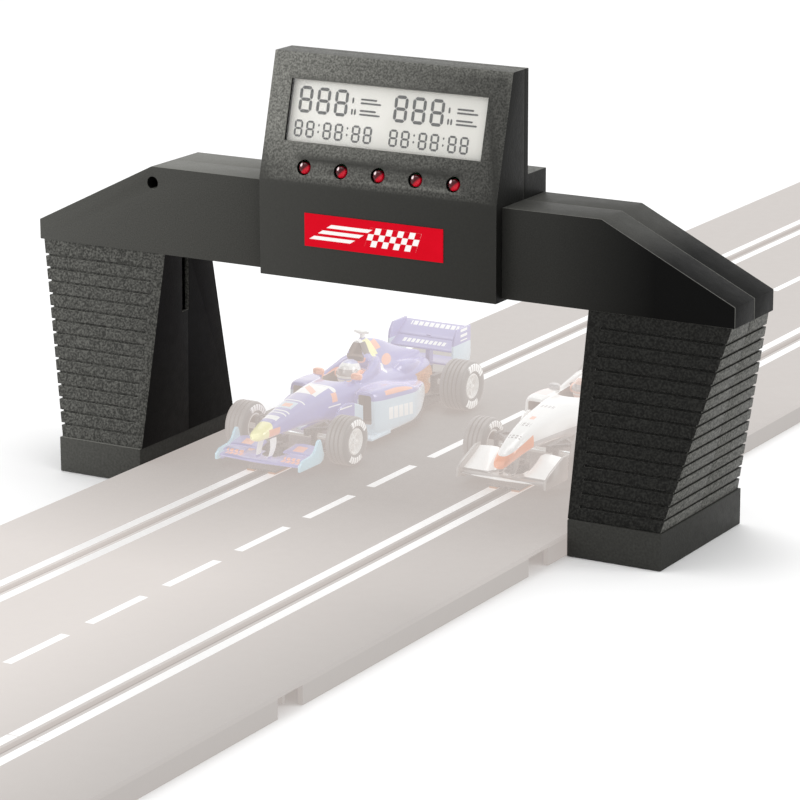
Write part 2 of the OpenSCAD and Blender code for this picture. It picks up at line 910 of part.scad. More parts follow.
module axle(y, r, length) {
    color("silver") translate([0, y, r]) rod_x(axle_r, length);
}

// A pair of rims: barrel, web and hub
module rims(y, r, track, width) {
    color("gainsboro") translate([0, y, r]) both_sides()
        translate([track / 2 - width / 2, 0, 0]) rotate([0, 90, 0]) rotate_extrude()
            polygon([
                [axle_hole_r, -width / 2 + 1], [2.4, -width / 2 + 1], [2.4, width / 2 - 3.4],
                [rim_r - 1, width / 2 - 3.4], [rim_r - 1, -width / 2 + 0.6],
                [rim_r, -width / 2 + 0.6], [rim_r, width / 2 - 0.6], [rim_r - 1, width / 2 - 0.6],
                [rim_r - 1, width / 2 - 2], [2.4, width / 2 - 2], [2.4, width / 2 - 1.2],
                [axle_hole_r, width / 2 - 1.2]
            ]);
}

// A pair of slick tyres with moulded grooves round the tread
module tyres(y, r, track, width, grooves) {
    color([0.12, 0.12, 0.12]) translate([0, y, r]) both_sides()
        translate([track / 2 - width / 2, 0, 0]) rotate([0, 90, 0]) rotate_extrude() difference() {
            polygon([
                [rim_r, -width / 2 + 0.6], [r - 2.2, -width / 2], [r - 0.7, -width / 2 + 0.3],
                [r, -width / 2 + 1.3], [r, width / 2 - 1.3], [r - 0.7, width / 2 - 0.3],
                [r - 2.2, width / 2], [rim_r, width / 2 - 0.6]
            ]);
            for (i = [0 : grooves - 1])
                translate([r - 0.5, (i - (grooves - 1) / 2) * 2 - 0.3]) square([1, 0.6]);
        }
}

// Crown gear on the rear axle, its face teeth pointing at the pinion on the centre line
module crown_gear() {
    color("orange") translate([0, wheelbase, rear_tyre_r]) {
        for (i = [0 : crown_teeth - 1]) rotate([(i + 0.5) * 360 / crown_teeth, 0, 0])
            translate([mesh_x, -crown_pitch_r - crown_face_w / 2, -crown_tooth_w / 2])
                cube([crown_tooth_h + eps, crown_face_w, crown_tooth_w]);
        translate([mesh_x + crown_tooth_h, 0, 0]) rotate([0, 90, 0]) difference() {
            union() {
                cylinder(r = crown_pitch_r + crown_face_w / 2 + 0.2, h = 1.4);
                cylinder(r = 3, h = 4.6);
            }
            translate([0, 0, -1]) cylinder(r = axle_hole_r, h = 8);
        }
    }
}

module motor() {
    color("silver") translate([0, motor_end_y, rear_tyre_r]) difference() {
        union() {
            intersection() {
                block([-motor_w / 2, -motor_len, -motor_h / 2], [motor_w / 2, 0, motor_h / 2]);
                rod_y(motor_w / 2, -motor_len, 0);
            }
            rod_y(2.4, -motor_len - 1, 0.8);
        }
        rod_y(shaft_hole_r, -motor_len - 2, 2);
    }
}

// The motor's shaft and the pinion pressed on it
module pinion_shaft() {
    color("gold") translate([0, 0, rear_tyre_r]) {
        rod_y(shaft_r, motor_end_y - motor_len - 1.6, motor_end_y + 4.6);
        rod_y(pinion_root_r, motor_end_y + 2, motor_end_y + 4.2);
        for (i = [0 : pinion_teeth - 1]) rotate([0, i * 360 / pinion_teeth, 0])
            block([1, motor_end_y + 2, -pinion_tooth_w / 2],
                  [pinion_tip_r, motor_end_y + 4.2, pinion_tooth_w / 2]);
    }
}

module magnet() {
    color("dimgray") translate([0, magnet_y, floor_z + magnet_size[2] / 2 - 0.2])
        cube(magnet_size, center = true);
}

module at_blue() {
    translate([-lane_x, blue_axle_y, track_h + tyre_gap]) children();
}

module at_silver() {
    translate([lane_x, silver_axle_y, track_h + tyre_gap]) children();
}

module front_axle() { axle(0, front_tyre_r, front_track_w - 2); }

module front_rims() { rims(0, front_tyre_r, front_track_w, front_tyre_w); }

module front_tyres() { tyres(0, front_tyre_r, front_track_w, front_tyre_w, 3); }

module rear_axle() { axle(wheelbase, rear_tyre_r, rear_track_w - 2); }

module rear_rims() { rims(wheelbase, rear_tyre_r, rear_track_w, rear_tyre_w); }

module rear_tyres() { tyres(wheelbase, rear_tyre_r, rear_track_w, rear_tyre_w, 4); }

module blue_guide() { at_blue() guide(); }
module blue_braids() { at_blue() braids(); }
module blue_chassis() { at_blue() chassis(); }
module blue_body_shell() { at_blue() body_shell("slateblue"); }
module blue_driver() { at_blue() driver("white"); }
module blue_front_wing() { at_blue() front_wing("slateblue"); }
module blue_rear_wing() { at_blue() rear_wing("slateblue"); }
module blue_front_axle() { at_blue() front_axle(); }
module blue_front_rims() { at_blue() front_rims(); }
module blue_front_tyres() { at_blue() front_tyres(); }
module blue_rear_axle() { at_blue() rear_axle(); }
module blue_rear_rims() { at_blue() rear_rims(); }
module blue_rear_tyres() { at_blue() rear_tyres(); }
module blue_crown_gear() { at_blue() crown_gear(); }
module blue_motor() { at_blue() motor(); }
module blue_pinion_shaft() { at_blue() pinion_shaft(); }
module blue_magnet() { at_blue() magnet(); }

module silver_guide() { at_silver() guide(); }
module silver_braids() { at_silver() braids(); }
module silver_chassis() { at_silver() chassis(); }
module silver_body_shell() { at_silver() body_shell("gainsboro"); }
module silver_driver() { at_silver() driver("orange"); }
module silver_front_wing() { at_silver() front_wing("whitesmoke"); }
module silver_rear_wing() { at_silver() rear_wing("gainsboro"); }
module silver_front_axle() { at_silver() front_axle(); }
module silver_front_rims() { at_silver() front_rims(); }
module silver_front_tyres() { at_silver() front_tyres(); }
module silver_rear_axle() { at_silver() rear_axle(); }
module silver_rear_rims() { at_silver() rear_rims(); }
module silver_rear_tyres() { at_silver() rear_tyres(); }
module silver_crown_gear() { at_silver() crown_gear(); }
module silver_motor() { at_silver() motor(); }
module silver_pinion_shaft() { at_silver() pinion_shaft(); }
module silver_magnet() { at_silver() magnet(); }

quarter_straight();
straight_1();
straight_2();
straight_3();
contact_rails();
left_arm_front();
left_arm_rear();
right_arm_front();
right_arm_rear();
left_foot();
right_foot();
display_front();
display_rear();
lcd_window();
lcd_panel();
start_lights();
circuit_board();
lap_sensors();
battery_cover();
batteries();
name_plate();
mode_button();
start_button();
power_switch();
housing_screws();
blue_guide();
blue_braids();
blue_chassis();
blue_body_shell();
blue_driver();
blue_front_wing();
blue_rear_wing();
blue_front_axle();
blue_front_rims();
blue_front_tyres();
blue_rear_axle();
blue_rear_rims();
blue_rear_tyres();
blue_crown_gear();
blue_motor();
blue_pinion_shaft();
blue_magnet();
silver_guide();
silver_braids();
silver_chassis();
silver_body_shell();
silver_driver();
silver_front_wing();
silver_rear_wing();
silver_front_axle();
silver_front_rims();
silver_front_tyres();
silver_rear_axle();
silver_rear_rims();
silver_rear_tyres();
silver_crown_gear();
silver_motor();
silver_pinion_shaft();
silver_magnet();
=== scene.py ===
"""Looks of the two-lane slot car set: track, lap counter gantry and two racing cars.

Blender works in metres. The forms and shaders below are written in millimetres: +Z is up, X runs
across the track and both cars race towards -Y. Each car is built round its own point, on the
running surface under the middle of its front axle.
"""

import json
from math import copysign, cos, pi, radians, sin, sqrt

import bmesh
import bpy
import numpy as np
from mathutils import Matrix, Vector


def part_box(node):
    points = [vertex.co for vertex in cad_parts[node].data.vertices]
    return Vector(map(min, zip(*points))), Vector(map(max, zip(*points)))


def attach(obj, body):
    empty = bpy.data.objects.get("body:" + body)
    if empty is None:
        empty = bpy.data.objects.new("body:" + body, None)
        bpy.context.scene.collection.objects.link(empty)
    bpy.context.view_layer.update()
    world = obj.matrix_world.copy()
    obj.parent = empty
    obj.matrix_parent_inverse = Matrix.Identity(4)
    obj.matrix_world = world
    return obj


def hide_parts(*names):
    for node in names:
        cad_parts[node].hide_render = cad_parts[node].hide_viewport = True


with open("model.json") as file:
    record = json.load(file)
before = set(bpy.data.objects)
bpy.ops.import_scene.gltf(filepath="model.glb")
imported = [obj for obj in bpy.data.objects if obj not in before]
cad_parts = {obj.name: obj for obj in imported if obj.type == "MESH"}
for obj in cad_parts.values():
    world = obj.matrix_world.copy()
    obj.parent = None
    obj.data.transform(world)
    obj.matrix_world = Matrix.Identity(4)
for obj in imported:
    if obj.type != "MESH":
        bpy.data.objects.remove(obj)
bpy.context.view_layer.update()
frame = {"nodes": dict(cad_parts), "record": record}

MM = 0.001
SLOT_OF = {part["node"]: part["material_slot"] for part in frame["record"]["subparts"]}
BODY_OF = {
    node: body
    for body, members in frame["record"]["behaviour"]["bodies"].items()
    for node in members
}


# ---- where the CAD parts are

def box_mm(node):
    """Lowest and highest corner of a CAD node, in millimetres."""
    low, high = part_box(node)
    return low / MM, high / MM


def middle(node):
    low, high = box_mm(node)
    return (low + high) / 2


def placed(name, data):
    """A new object in the scene."""
    thing = bpy.data.objects.new(name, data)
    bpy.context.scene.collection.objects.link(thing)
    return thing


def islands(node):
    """Lowest and highest corner of each separate solid of a CAD node, from left to right."""
    bm = bmesh.new()
    bm.from_mesh(frame["nodes"][node].data)
    bmesh.ops.remove_doubles(bm, verts=bm.verts, dist=1e-6)
    left = set(bm.verts)
    found = []
    while left:
        reached = [left.pop()]
        for vert in reached:
            near = {edge.other_vert(vert) for edge in vert.link_edges} & left
            left -= near
            reached.extend(near)
        points = np.array([vert.co for vert in reached]) / MM
        found.append((Vector(points.min(0)), Vector(points.max(0))))
    bm.free()
    return sorted(found, key=lambda corners: corners[0].x)


# ---- shaders

def rgb(red, green, blue):
    """Linear colour of an 8-bit sRGB one."""
    return tuple(((c / 255 + 0.055) / 1.055) ** 2.4 if c > 10 else c / 255 / 12.92
                 for c in (red, green, blue))


# Colour of the painted glow that lifts the shade on the cars, the track and many small parts
PAINTED_GLOW = rgb(176, 167, 162)
FACE_BLUR = 0.1

# On the gantry, the paint's share is the light's share times a gain, less what the reflection adds
REFLECTION = 0.11
LIGHT_GAIN = 1.52
LEAST_LIGHT = 0.02


def shade(color, factor):
    return tuple(min(1.0, channel * factor) for channel in color)


class Shader:
    """A Principled material, and short calls for the nodes that the looks are made of.

    Places and sizes are in millimetres in the piece's own frame."""

    def __init__(self, name, color, roughness=0.5, **sockets):
        self.material = bpy.data.materials.new(name)
        self.material.use_nodes = True
        self.material.diffuse_color = (*color, 1)
        self.tree = self.material.node_tree
        self.surface = self.tree.nodes["Principled BSDF"].inputs
        self.surface["Base Color"].default_value = (*color, 1)
        self.surface["Roughness"].default_value = roughness
        for socket, value in sockets.items():
            label = socket.replace("_", " ").title().replace("Ior", "IOR")
            self.surface[label].default_value = value
        self.place = self.scaled(self.node("TexCoord").outputs["Object"], 1 / MM)
        self.x, self.y, self.z = self.node("SeparateXYZ", self.place).outputs

    def feed(self, socket, value):
        if isinstance(value, bpy.types.NodeSocket):
            self.tree.links.new(value, socket)
        elif isinstance(value, tuple):
            socket.default_value = (*value, 1)[:len(socket.default_value)]
        else:
            socket.default_value = value

    def node(self, kind, *values, **settings):
        """A new node with settings, and with values fed to its first sockets."""
        node = self.tree.nodes.new("ShaderNode" + kind)
        for setting, value in settings.items():
            setattr(node, setting, value)
        for socket, value in zip(node.inputs, values):
            self.feed(socket, value)
        return node

    def math(self, operation, a, b=0.0, clamp=False):
        return self.node("Math", a, b, operation=operation, use_clamp=clamp).outputs[0]

    def scaled(self, vector, factor):
        node = self.node("VectorMath", vector, operation="SCALE")
        self.feed(node.inputs["Scale"], factor)
        return node.outputs[0]

    def sum(self, a, b, factor=1.0):
        """a + b * factor"""
        return self.math("ADD", a, self.math("MULTIPLY", b, factor))

    def less(self, a, b):
        return self.math("SUBTRACT", a, b)

    def size(self, value):
        """The value without its sign."""
        return self.math("ABSOLUTE", value)

    def without(self, mask):
        """1 where mask is 0."""
        return self.less(1.0, mask)

    def above(self, value, edge, blur=0.06):
        """0 below edge and 1 above it, with a change blur wide."""
        return self.math("MULTIPLY", self.less(value, edge), 1 / blur, clamp=True)

    def below(self, value, edge, blur=0.06):
        return self.without(self.above(value, edge, blur))

    def inside(self, value, low, high, blur=0.06):
        return self.all(self.above(value, low, blur), self.below(value, high, blur))

    def all(self, *masks):
        result = masks[0]
        for mask in masks[1:]:
            result = self.math("MULTIPLY", result, mask)
        return result

    def any(self, *masks):
        result = masks[0]
        for mask in masks[1:]:
            result = self.math("MAXIMUM", result, mask)
        return result

    def patch(self, *masks, x=(None, None), y=(None, None), z=(None, None)):
        """Where all masks are 1 and the distance from the middle plane, y and z are in range.

        A limit that is None leaves its side open."""
        masks = list(masks)
        for value, (low, high) in ((self.size(self.x), x), (self.y, y), (self.z, z)):
            if low is not None:
                masks.append(self.above(value, low))
            if high is not None:
                masks.append(self.below(value, high))
        return self.all(*masks)

    def far(self, a, a0, b, b0, b_scale=1.0):
        """Distance of the point (a, b) from (a0, b0), with b stretched."""
        da = self.less(a, a0)
        db = self.math("MULTIPLY", self.less(b, b0), b_scale)
        squares = self.sum(self.math("MULTIPLY", da, da), self.math("MULTIPLY", db, db))
        return self.math("SQRT", squares)

    def dashes(self, value, period, share, start=0.0):
        """1 on the first share of every period."""
        phase = self.math("FLOORED_MODULO", self.less(value, start), period)
        return self.below(phase, period * share)

    def mix(self, mask, low, high):
        """Colour low where mask is 0 and colour high where it is 1."""
        node = self.node("Mix", mask, data_type="RGBA")
        self.feed(node.inputs[6], low)
        self.feed(node.inputs[7], high)
        return node.outputs[2]

    def between(self, mask, low, high):
        """Number low where mask is 0 and number high where it is 1."""
        return self.sum(low, mask, self.less(high, low))

    def mottled(self, color, size, dark, light, detail=3.0):
        """A colour that goes from a darker to a lighter shade in blobs about size across."""
        return self.mix(self.noise(size, detail), shade(color, dark), shade(color, light))

    def span(self, value, low, high):
        """Moves a 0 to 1 value to the range low to high."""
        return self.sum(low, value, high - low)

    def noise(self, size, detail=2.0, stretch=(1, 1, 1)):
        """Noise whose blobs are about size across, and longer along a stretched axis."""
        place = self.place
        if stretch != (1, 1, 1):
            mapping = self.node("Mapping", place)
            mapping.inputs["Scale"].default_value = [1 / s for s in stretch]
            place = mapping.outputs[0]
        node = self.node("TexNoise", place)
        node.inputs["Scale"].default_value = 1 / size
        node.inputs["Detail"].default_value = detail
        return node.outputs["Fac"]

    def normal(self):
        """The three parts of the direction that a face looks in."""
        return self.node("SeparateXYZ", self.node("NewGeometry").outputs["Normal"]).outputs

    def facing_up(self):
        """1 on faces that look up."""
        return self.above(self.normal()[2], 0.55, FACE_BLUR)

    def bump(self, height, depth):
        node = self.node("Bump")
        node.inputs["Distance"].default_value = depth * MM
        self.feed(node.inputs["Height"], height)
        self.feed(self.surface["Normal"], node.outputs[0])

    def gloss(self, size, low, high, detail=2.0):
        """Roughness from low to high, in blobs about size across."""
        self.feed(self.surface["Roughness"], self.span(self.noise(size, detail), low, high))

    def paint(self, color, *spots):
        """Paints each (mask, colour) spot over what is there."""
        for mask, spot in spots:
            color = self.mix(mask, color, spot)
        self.feed(self.surface["Base Color"], color)

    def paint_lit(self, color, light):
        """Paints a colour scaled by the share of light that arrives.

        The reflection is the same on every face, so the colour makes up for it."""
        share = self.math("MAXIMUM", self.sum(-REFLECTION, light, LIGHT_GAIN), LEAST_LIGHT)
        self.feed(self.surface["Base Color"], self.scaled(color, share))

    def add_painted_glow(self):
        """Lays a pale painted glow over the finished paint. The glow's colour is taken out of the paint
        and given off as light, so its darkest parts do not go below the glow.
        """
        base = self.surface["Base Color"]
        color = base.links[0].from_socket
        for operation, other in (("SUBTRACT", PAINTED_GLOW), ("MAXIMUM", (0.01, 0.01, 0.01))):
            color = self.node("VectorMath", color, other, operation=operation).outputs[0]
        self.feed(base, color)
        self.surface["Emission Color"].default_value = (*PAINTED_GLOW, 1)
        self.surface["Emission Strength"].default_value = 1.0
        return self.material


def moulded(name, color, roughness=0.5, grain=0.6, depth=0.05, speckle=0.25, hazy=False, **sockets):
    """Grained moulded plastic: fine speckle, slow mottling and a bumpy skin, and, when asked, a painted
    glow that lifts its shade.
    """
    s = Shader(name, color, roughness, **sockets)
    fine = s.noise(grain, 3.0)
    slow = s.noise(35, 3.0, stretch=(1, 1, 2))
    grained = s.mix(s.span(fine, -0.4, 1.4), shade(color, 1 - speckle), shade(color, 1 + speckle))
    s.paint(grained, (s.span(slow, 0.0, 0.35), shade(color, 0.8)))
    s.gloss(grain * 3, roughness - 0.1, min(1.0, roughness + 0.1))
    s.bump(fine, depth)
    return s.add_painted_glow() if hazy else s.material


def brushed(name, color, roughness=0.3, along=(1, 12, 1), hazy=False):
    """Drawn or ground metal with fine lines along one axis, and, when asked, a painted glow that lifts its
    shade.
    """
    s = Shader(name, color, roughness, metallic=1.0)
    lines = s.noise(0.15, 2.0, stretch=along)
    s.paint(s.mix(lines, shade(color, 0.82), shade(color, 1.08)))
    s.feed(s.surface["Roughness"], s.span(lines, roughness - 0.08, roughness + 0.15))
    s.bump(lines, 0.004)
    return s.add_painted_glow() if hazy else s.material


# ---- forms

SHARP = 0.5              # an edge that turns by more radians is sharp
RING_POINTS = 40
STATION_STEP = 1.5
THIN = 0.01              # a radius that closes a turned form on its axis
AEROFOIL_POINTS = 12


class Form:
    """A mesh under construction, in millimetres."""

    def __init__(self):
        self.bm = bmesh.new()

    def loft(self, rings, closed=False):
        """Skins rings of points one after another. It caps the ends, or joins them if closed."""
        rows = [[self.bm.verts.new(point) for point in ring] for ring in rings]
        for row, after in zip(rows, rows[1:] + rows[:1] if closed else rows[1:]):
            for i, vert in enumerate(row):
                j = (i + 1) % len(row)
                self.bm.faces.new((vert, row[j], after[j], after[i]))
        if not closed:
            self.bm.faces.new(rows[0][::-1])
            self.bm.faces.new(rows[-1])
        return self

    def prism(self, outline, axis, low, high):
        """Extrudes an outline in the other two axes along axis 0, 1 or 2."""
        place = (lambda u, v, w: (w, u, v), lambda u, v, w: (u, w, v), lambda u, v, w: (u, v, w))
        return self.loft([[place[axis](u, v, w) for u, v in outline] for w in (low, high)])

    def block(self, low, high):
        corners = [(low[0], low[1]), (high[0], low[1]), (high[0], high[1]), (low[0], high[1])]
        return self.prism(corners, 2, low[2], high[2])

    def lathe(self, profile, segments, start=0.0):
        """Turns a closed outline of (x, radius) points round the X axis, moved along it by start."""
        rings = []
        for i in range(segments):
            turn = 2 * pi * i / segments
            rings.append([(start + x, r * cos(turn), r * sin(turn)) for x, r in profile])
        return self.loft(rings, closed=True)

    def hull(self, stations):
        """Adds a car body part: ovals whose (y, x, half, low, high, power, peak) flow along it."""
        return self.loft([oval(*row) for row in flowing(stations)])

    def mesh(self, name):
        mesh = bpy.data.meshes.new(name)
        self.bm.to_mesh(mesh)
        return mesh

    def add(self, other, matrix=Matrix.Identity(4)):
        """Takes in a copy of another form, moved by a matrix."""
        mesh = other.mesh("part")
        mesh.transform(matrix)
        self.bm.from_mesh(mesh)
        bpy.data.meshes.remove(mesh)
        return self

    def both_sides(self):
        """Adds the mirror image across X."""
        return self.add(self, Matrix.Diagonal((-1, 1, 1, 1)))

    def soften(self, radius, segments=2):
        """Rounds the sharp edges."""
        bmesh.ops.remove_doubles(self.bm, verts=self.bm.verts, dist=0.002)
        bmesh.ops.recalc_face_normals(self.bm, faces=self.bm.faces)
        edges = [edge for edge in self.bm.edges
                 if len(edge.link_faces) == 2 and edge.calc_face_angle(0) > SHARP]
        bmesh.ops.bevel(self.bm, geom=edges, offset=radius, offset_type="OFFSET",
                        segments=segments, profile=0.5, affect="EDGES", clamp_overlap=True)
        return self

    def modified(self, kind, **settings):
        """Runs a Blender modifier over the form."""
        bmesh.ops.recalc_face_normals(self.bm, faces=self.bm.faces)
        mesh = self.mesh("work")
        work = placed("work", mesh)
        modifier = work.modifiers.new(kind, kind)
        for setting, value in settings.items():
            setattr(modifier, setting, value)
        shaped = work.evaluated_get(bpy.context.evaluated_depsgraph_get()).to_mesh()
        self.bm.clear()
        self.bm.from_mesh(shaped)
        bpy.data.objects.remove(work)
        bpy.data.meshes.remove(mesh)
        return self

    def fused(self, voxel, rounds=3):
        """Joins overlapping closed skins into one with small fillets."""
        self.modified("REMESH", mode="VOXEL", voxel_size=voxel)
        return self.modified("SMOOTH", factor=0.5, iterations=rounds)

    def cut(self, *cutters):
        """Takes the space of other forms out of this one."""
        for cutter in cutters:
            bmesh.ops.recalc_face_normals(cutter.bm, faces=cutter.bm.faces)
            mesh = cutter.mesh("cutter")
            tool = placed("cutter", mesh)
            self.modified("BOOLEAN", operation="DIFFERENCE", solver="EXACT", object=tool)
            bpy.data.objects.remove(tool)
            bpy.data.meshes.remove(mesh)
        return self

    def piece(self, name, body, nodes, material, at=(0, 0, 0), smooth=35):
        """Makes the form a piece with its origin at a point, riding on a body for CAD nodes."""
        bm = self.bm
        bmesh.ops.remove_doubles(bm, verts=bm.verts, dist=0.0005)
        bmesh.ops.scale(bm, vec=(MM, MM, MM), verts=bm.verts)
        bmesh.ops.recalc_face_normals(bm, faces=bm.faces)
        for face in bm.faces:
            face.smooth = True
        for edge in bm.edges:
            edge.smooth = len(edge.link_faces) == 2 and edge.calc_face_angle(0) < radians(smooth)
        mesh = self.mesh(name)
        bm.free()
        mesh.materials.append(material)
        thing = placed(name, mesh)
        thing.location = Vector(at) * MM
        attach(thing, body)
        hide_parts(*nodes)


def cad_form(node):
    """A CAD node's own form."""
    form = Form()
    form.bm.from_mesh(frame["nodes"][node].data)
    bmesh.ops.scale(form.bm, vec=(1 / MM, 1 / MM, 1 / MM), verts=form.bm.verts)
    return form


def softened(node, material, radius, segments=2):
    """A copy of a CAD node with its sharp edges rounded, which stands for the node."""
    form = cad_form(node)
    bmesh.ops.remove_doubles(form.bm, verts=form.bm.verts, dist=0.002)
    bmesh.ops.dissolve_limit(form.bm, angle_limit=radians(1), verts=form.bm.verts,
                             edges=form.bm.edges, delimit={"NORMAL"})
    form.soften(radius, segments)
    form.piece(node + "_skin", BODY_OF[node], [node], material, smooth=40)


def signed_power(value, power):
    return copysign(abs(value) ** power, value)


def oval(y, x, half, low, high, power, peak):
    """A ring across the car at y: a rounded box, narrower at its top by the share peak."""
    ring = []
    for i in range(RING_POINTS):
        turn = 2 * pi * (i + 0.5) / RING_POINTS
        across = signed_power(cos(turn), 2 / power)
        up = signed_power(sin(turn), 2 / power)
        width = half * (1 - peak * (up + 1) / 2)
        ring.append((x + width * across, y, (low + high) / 2 + (high - low) / 2 * up))
    return ring


def flowing(stations):
    """Rows of numbers filled in smoothly along their first number."""
    table = np.array(stations, float)
    slopes = np.gradient(table, table[:, 0], axis=0)
    rows = []
    first, last = table[0, 0], table[-1, 0]
    for place in np.linspace(first, last, int((last - first) / STATION_STEP) + 2):
        i = min(int(np.searchsorted(table[:, 0], place, "right")) - 1, len(table) - 2)
        gap = table[i + 1, 0] - table[i, 0]
        t = (place - table[i, 0]) / gap
        rows.append(
            (2 * t ** 3 - 3 * t ** 2 + 1) * table[i] + (t ** 3 - 2 * t ** 2 + t) * gap * slopes[i]
            + (3 * t ** 2 - 2 * t ** 3) * table[i + 1] + (t ** 3 - t ** 2) * gap * slopes[i + 1])
    return [list(map(float, row)) for row in rows]


def aerofoil(y0, y1, z, thick, rise=0.0, camber=0.0):
    """Outline (y, z) of a wing from its front edge y0 to its rear edge y1."""
    upper, lower = [], []
    for i in range(AEROFOIL_POINTS + 1):
        t = (1 - cos(pi * i / AEROFOIL_POINTS)) / 2
        half = thick * (1.48 * sqrt(t) - 0.63 * t - 1.76 * t * t + 0.91 * t ** 3)
        middle_z = z + rise * t + camber * 4 * t * (1 - t)
        upper.append((y0 + (y1 - y0) * t, middle_z + half + 0.08))
        lower.append((y0 + (y1 - y0) * t, middle_z - half - 0.08))
    return upper + lower[::-1]


# ---- gantry

GREY = rgb(66, 66, 63)
GANTRY_GRAIN = 0.55
BEAM_BOTTOM = 93.9
LOW_GLOSS = 0.08

# Shares of light. A pair is the share at x = 0 and its change for each millimetre to the right.
FRONT_FALLS = ((0.49, -0.0033), (0.51, -0.0018))
FRONT_END_FALL = (0.87, -0.0062)
TOP_FALL = (1.34, -0.0065)
SLOPE_FALL = (1.5, -0.0135)
EDGE_LIGHT = 2.0
FAR_END_LIGHT = 0.07
INNER_LEG_RISE = (0.02, 0.0009)      # share at the floor, and its change for each millimetre up
RIGHT_LEG_LIGHT = 0.24
ARM_END_LIGHT = 0.12
FOOT_LIGHT = 0.5
FOOT_END_LIGHT = 0.4
DISPLAY_TOP_LIGHT = 1.2
LOW_SLOPE_LIGHT = 0.6
SLOPE_FADE = (126.0, 26.0)           # height where the slope's own fall sets in, and its blur
DISPLAY_END_LIGHT = 0.17

# Parts of a face's normal, past which it counts as one of these faces
RIGHT_FACE = 0.3
FRONT_FACE = -0.5
TOP_FACE = 0.7
SLOPING_FACE = 0.12


def fall(s, line):
    """Share of light that falls off to the right."""
    start, change = line
    return s.sum(start, s.x, change)


def front_light(s):
    """Share of the light on the gantry's front, which fades away from the lamps on the left."""
    gentle = s.math("MAXIMUM", *(fall(s, line) for line in FRONT_FALLS))
    end = s.math("MAXIMUM", fall(s, FRONT_END_FALL), FAR_END_LIGHT)
    return s.math("MINIMUM", gentle, end)


def painted_edge_highlight(s, ny):
    """Mask of the narrow rounded edges round the gantry's front faces, where a highlight is painted."""
    return s.inside(s.size(ny), 0.2, 0.9, 0.05)


def arm_light(s):
    """Share of the light on each face of the arms and feet."""
    nx, ny, nz = s.normal()
    beam = s.above(s.z, BEAM_BOTTOM)
    legs = s.without(beam)
    to_right = s.above(nx, RIGHT_FACE, FACE_BLUR)
    inner_left = s.all(to_right, legs, s.below(s.x, 0.0))
    front = s.between(s.all(legs, s.above(s.x, 0.0)), front_light(s), RIGHT_LEG_LIGHT)
    light = s.between(s.above(nz, TOP_FACE, FACE_BLUR), 1.0, fall(s, TOP_FALL))
    light = s.between(s.below(ny, FRONT_FACE, FACE_BLUR), light, front)
    light = s.between(s.all(to_right, beam), light, ARM_END_LIGHT)
    light = s.between(s.all(painted_edge_highlight(s, ny), beam), light, EDGE_LIGHT)
    low, change = INNER_LEG_RISE
    return s.between(inner_left, light, s.sum(low, s.z, change))


def arm_look():
    """Fine grain on the arms, and a coarser sparkling grain on the ribbed legs under them, with painted
    light and shade on each face.
    """
    s = Shader("arm_grain_and_painted_light", GREY, 0.5, specular_ior_level=LOW_GLOSS)
    fine = s.noise(GANTRY_GRAIN, 3.0)
    coarse = s.noise(GANTRY_GRAIN * 1.6, 2.0)
    leg = s.below(s.z, BEAM_BOTTOM)
    arm = s.mix(s.span(fine, -0.5, 1.5), shade(GREY, 0.8), shade(GREY, 1.2))
    ribs = s.mix(s.span(coarse, -1.4, 2.2), shade(GREY, 0.55), shade(GREY, 1.75))
    s.paint_lit(s.mix(leg, arm, ribs), arm_light(s))
    s.gloss(4.0, 0.42, 0.6)
    s.bump(s.math("MAXIMUM", fine, s.all(leg, coarse)), 0.09)
    return s.material


def foot_look():
    """Grained feet with painted light, which is never low on them, except on the right foot's end."""
    s = Shader("foot_grain_and_painted_light", GREY, 0.5, specular_ior_level=LOW_GLOSS)
    grain = s.noise(1.0, 3.0)
    right_end = s.all(s.above(s.normal()[0], RIGHT_FACE, FACE_BLUR), s.above(s.x, 0.0))
    light = s.between(right_end, s.math("MAXIMUM", arm_light(s), FOOT_LIGHT), FOOT_END_LIGHT)
    s.paint_lit(s.mix(s.span(grain, -0.4, 1.4), shade(GREY, 0.75), shade(GREY, 1.25)), light)
    s.gloss(3.0, 0.4, 0.6)
    s.bump(grain, 0.07)
    return s.material


def display_look():
    """Coarse grain on the sloping face, with painted light that is palest towards its top left corner, and
    painted light and shade on the other faces.
    """
    s = Shader("display_grain_and_painted_light", GREY, 0.45, specular_ior_level=LOW_GLOSS)
    nx, ny, nz = s.normal()
    sloping = s.above(nz, SLOPING_FACE, FACE_BLUR)
    slope = s.between(s.above(s.z, *SLOPE_FADE), LOW_SLOPE_LIGHT, fall(s, SLOPE_FALL))
    face = s.between(sloping, front_light(s), slope)
    light = s.between(s.below(ny, FRONT_FACE, FACE_BLUR), DISPLAY_TOP_LIGHT, face)
    light = s.between(s.above(nx, RIGHT_FACE, FACE_BLUR), light, DISPLAY_END_LIGHT)
    light = s.between(painted_edge_highlight(s, ny), light, EDGE_LIGHT)
    coarse = s.noise(0.8, 2.5)
    rough = s.mix(s.span(coarse, -1.1, 2.0), shade(GREY, 0.65), shade(GREY, 1.6))
    fine = s.mix(coarse, shade(GREY, 0.93), shade(GREY, 1.14))
    s.paint_lit(s.mix(sloping, fine, rough), light)
    s.gloss(3.0, 0.36, 0.52)
    s.bump(coarse, 0.1)
    return s.material


def build_gantry():
    arm, display, foot = arm_look(), display_look(), foot_look()
    for node in ("left_arm_front", "left_arm_rear", "right_arm_front", "right_arm_rear"):
        softened(node, arm, 0.35)
    for node in ("left_foot", "right_foot"):
        softened(node, foot, 0.3)
    for node in ("display_front", "display_rear"):
        softened(node, display, 0.5, 3)


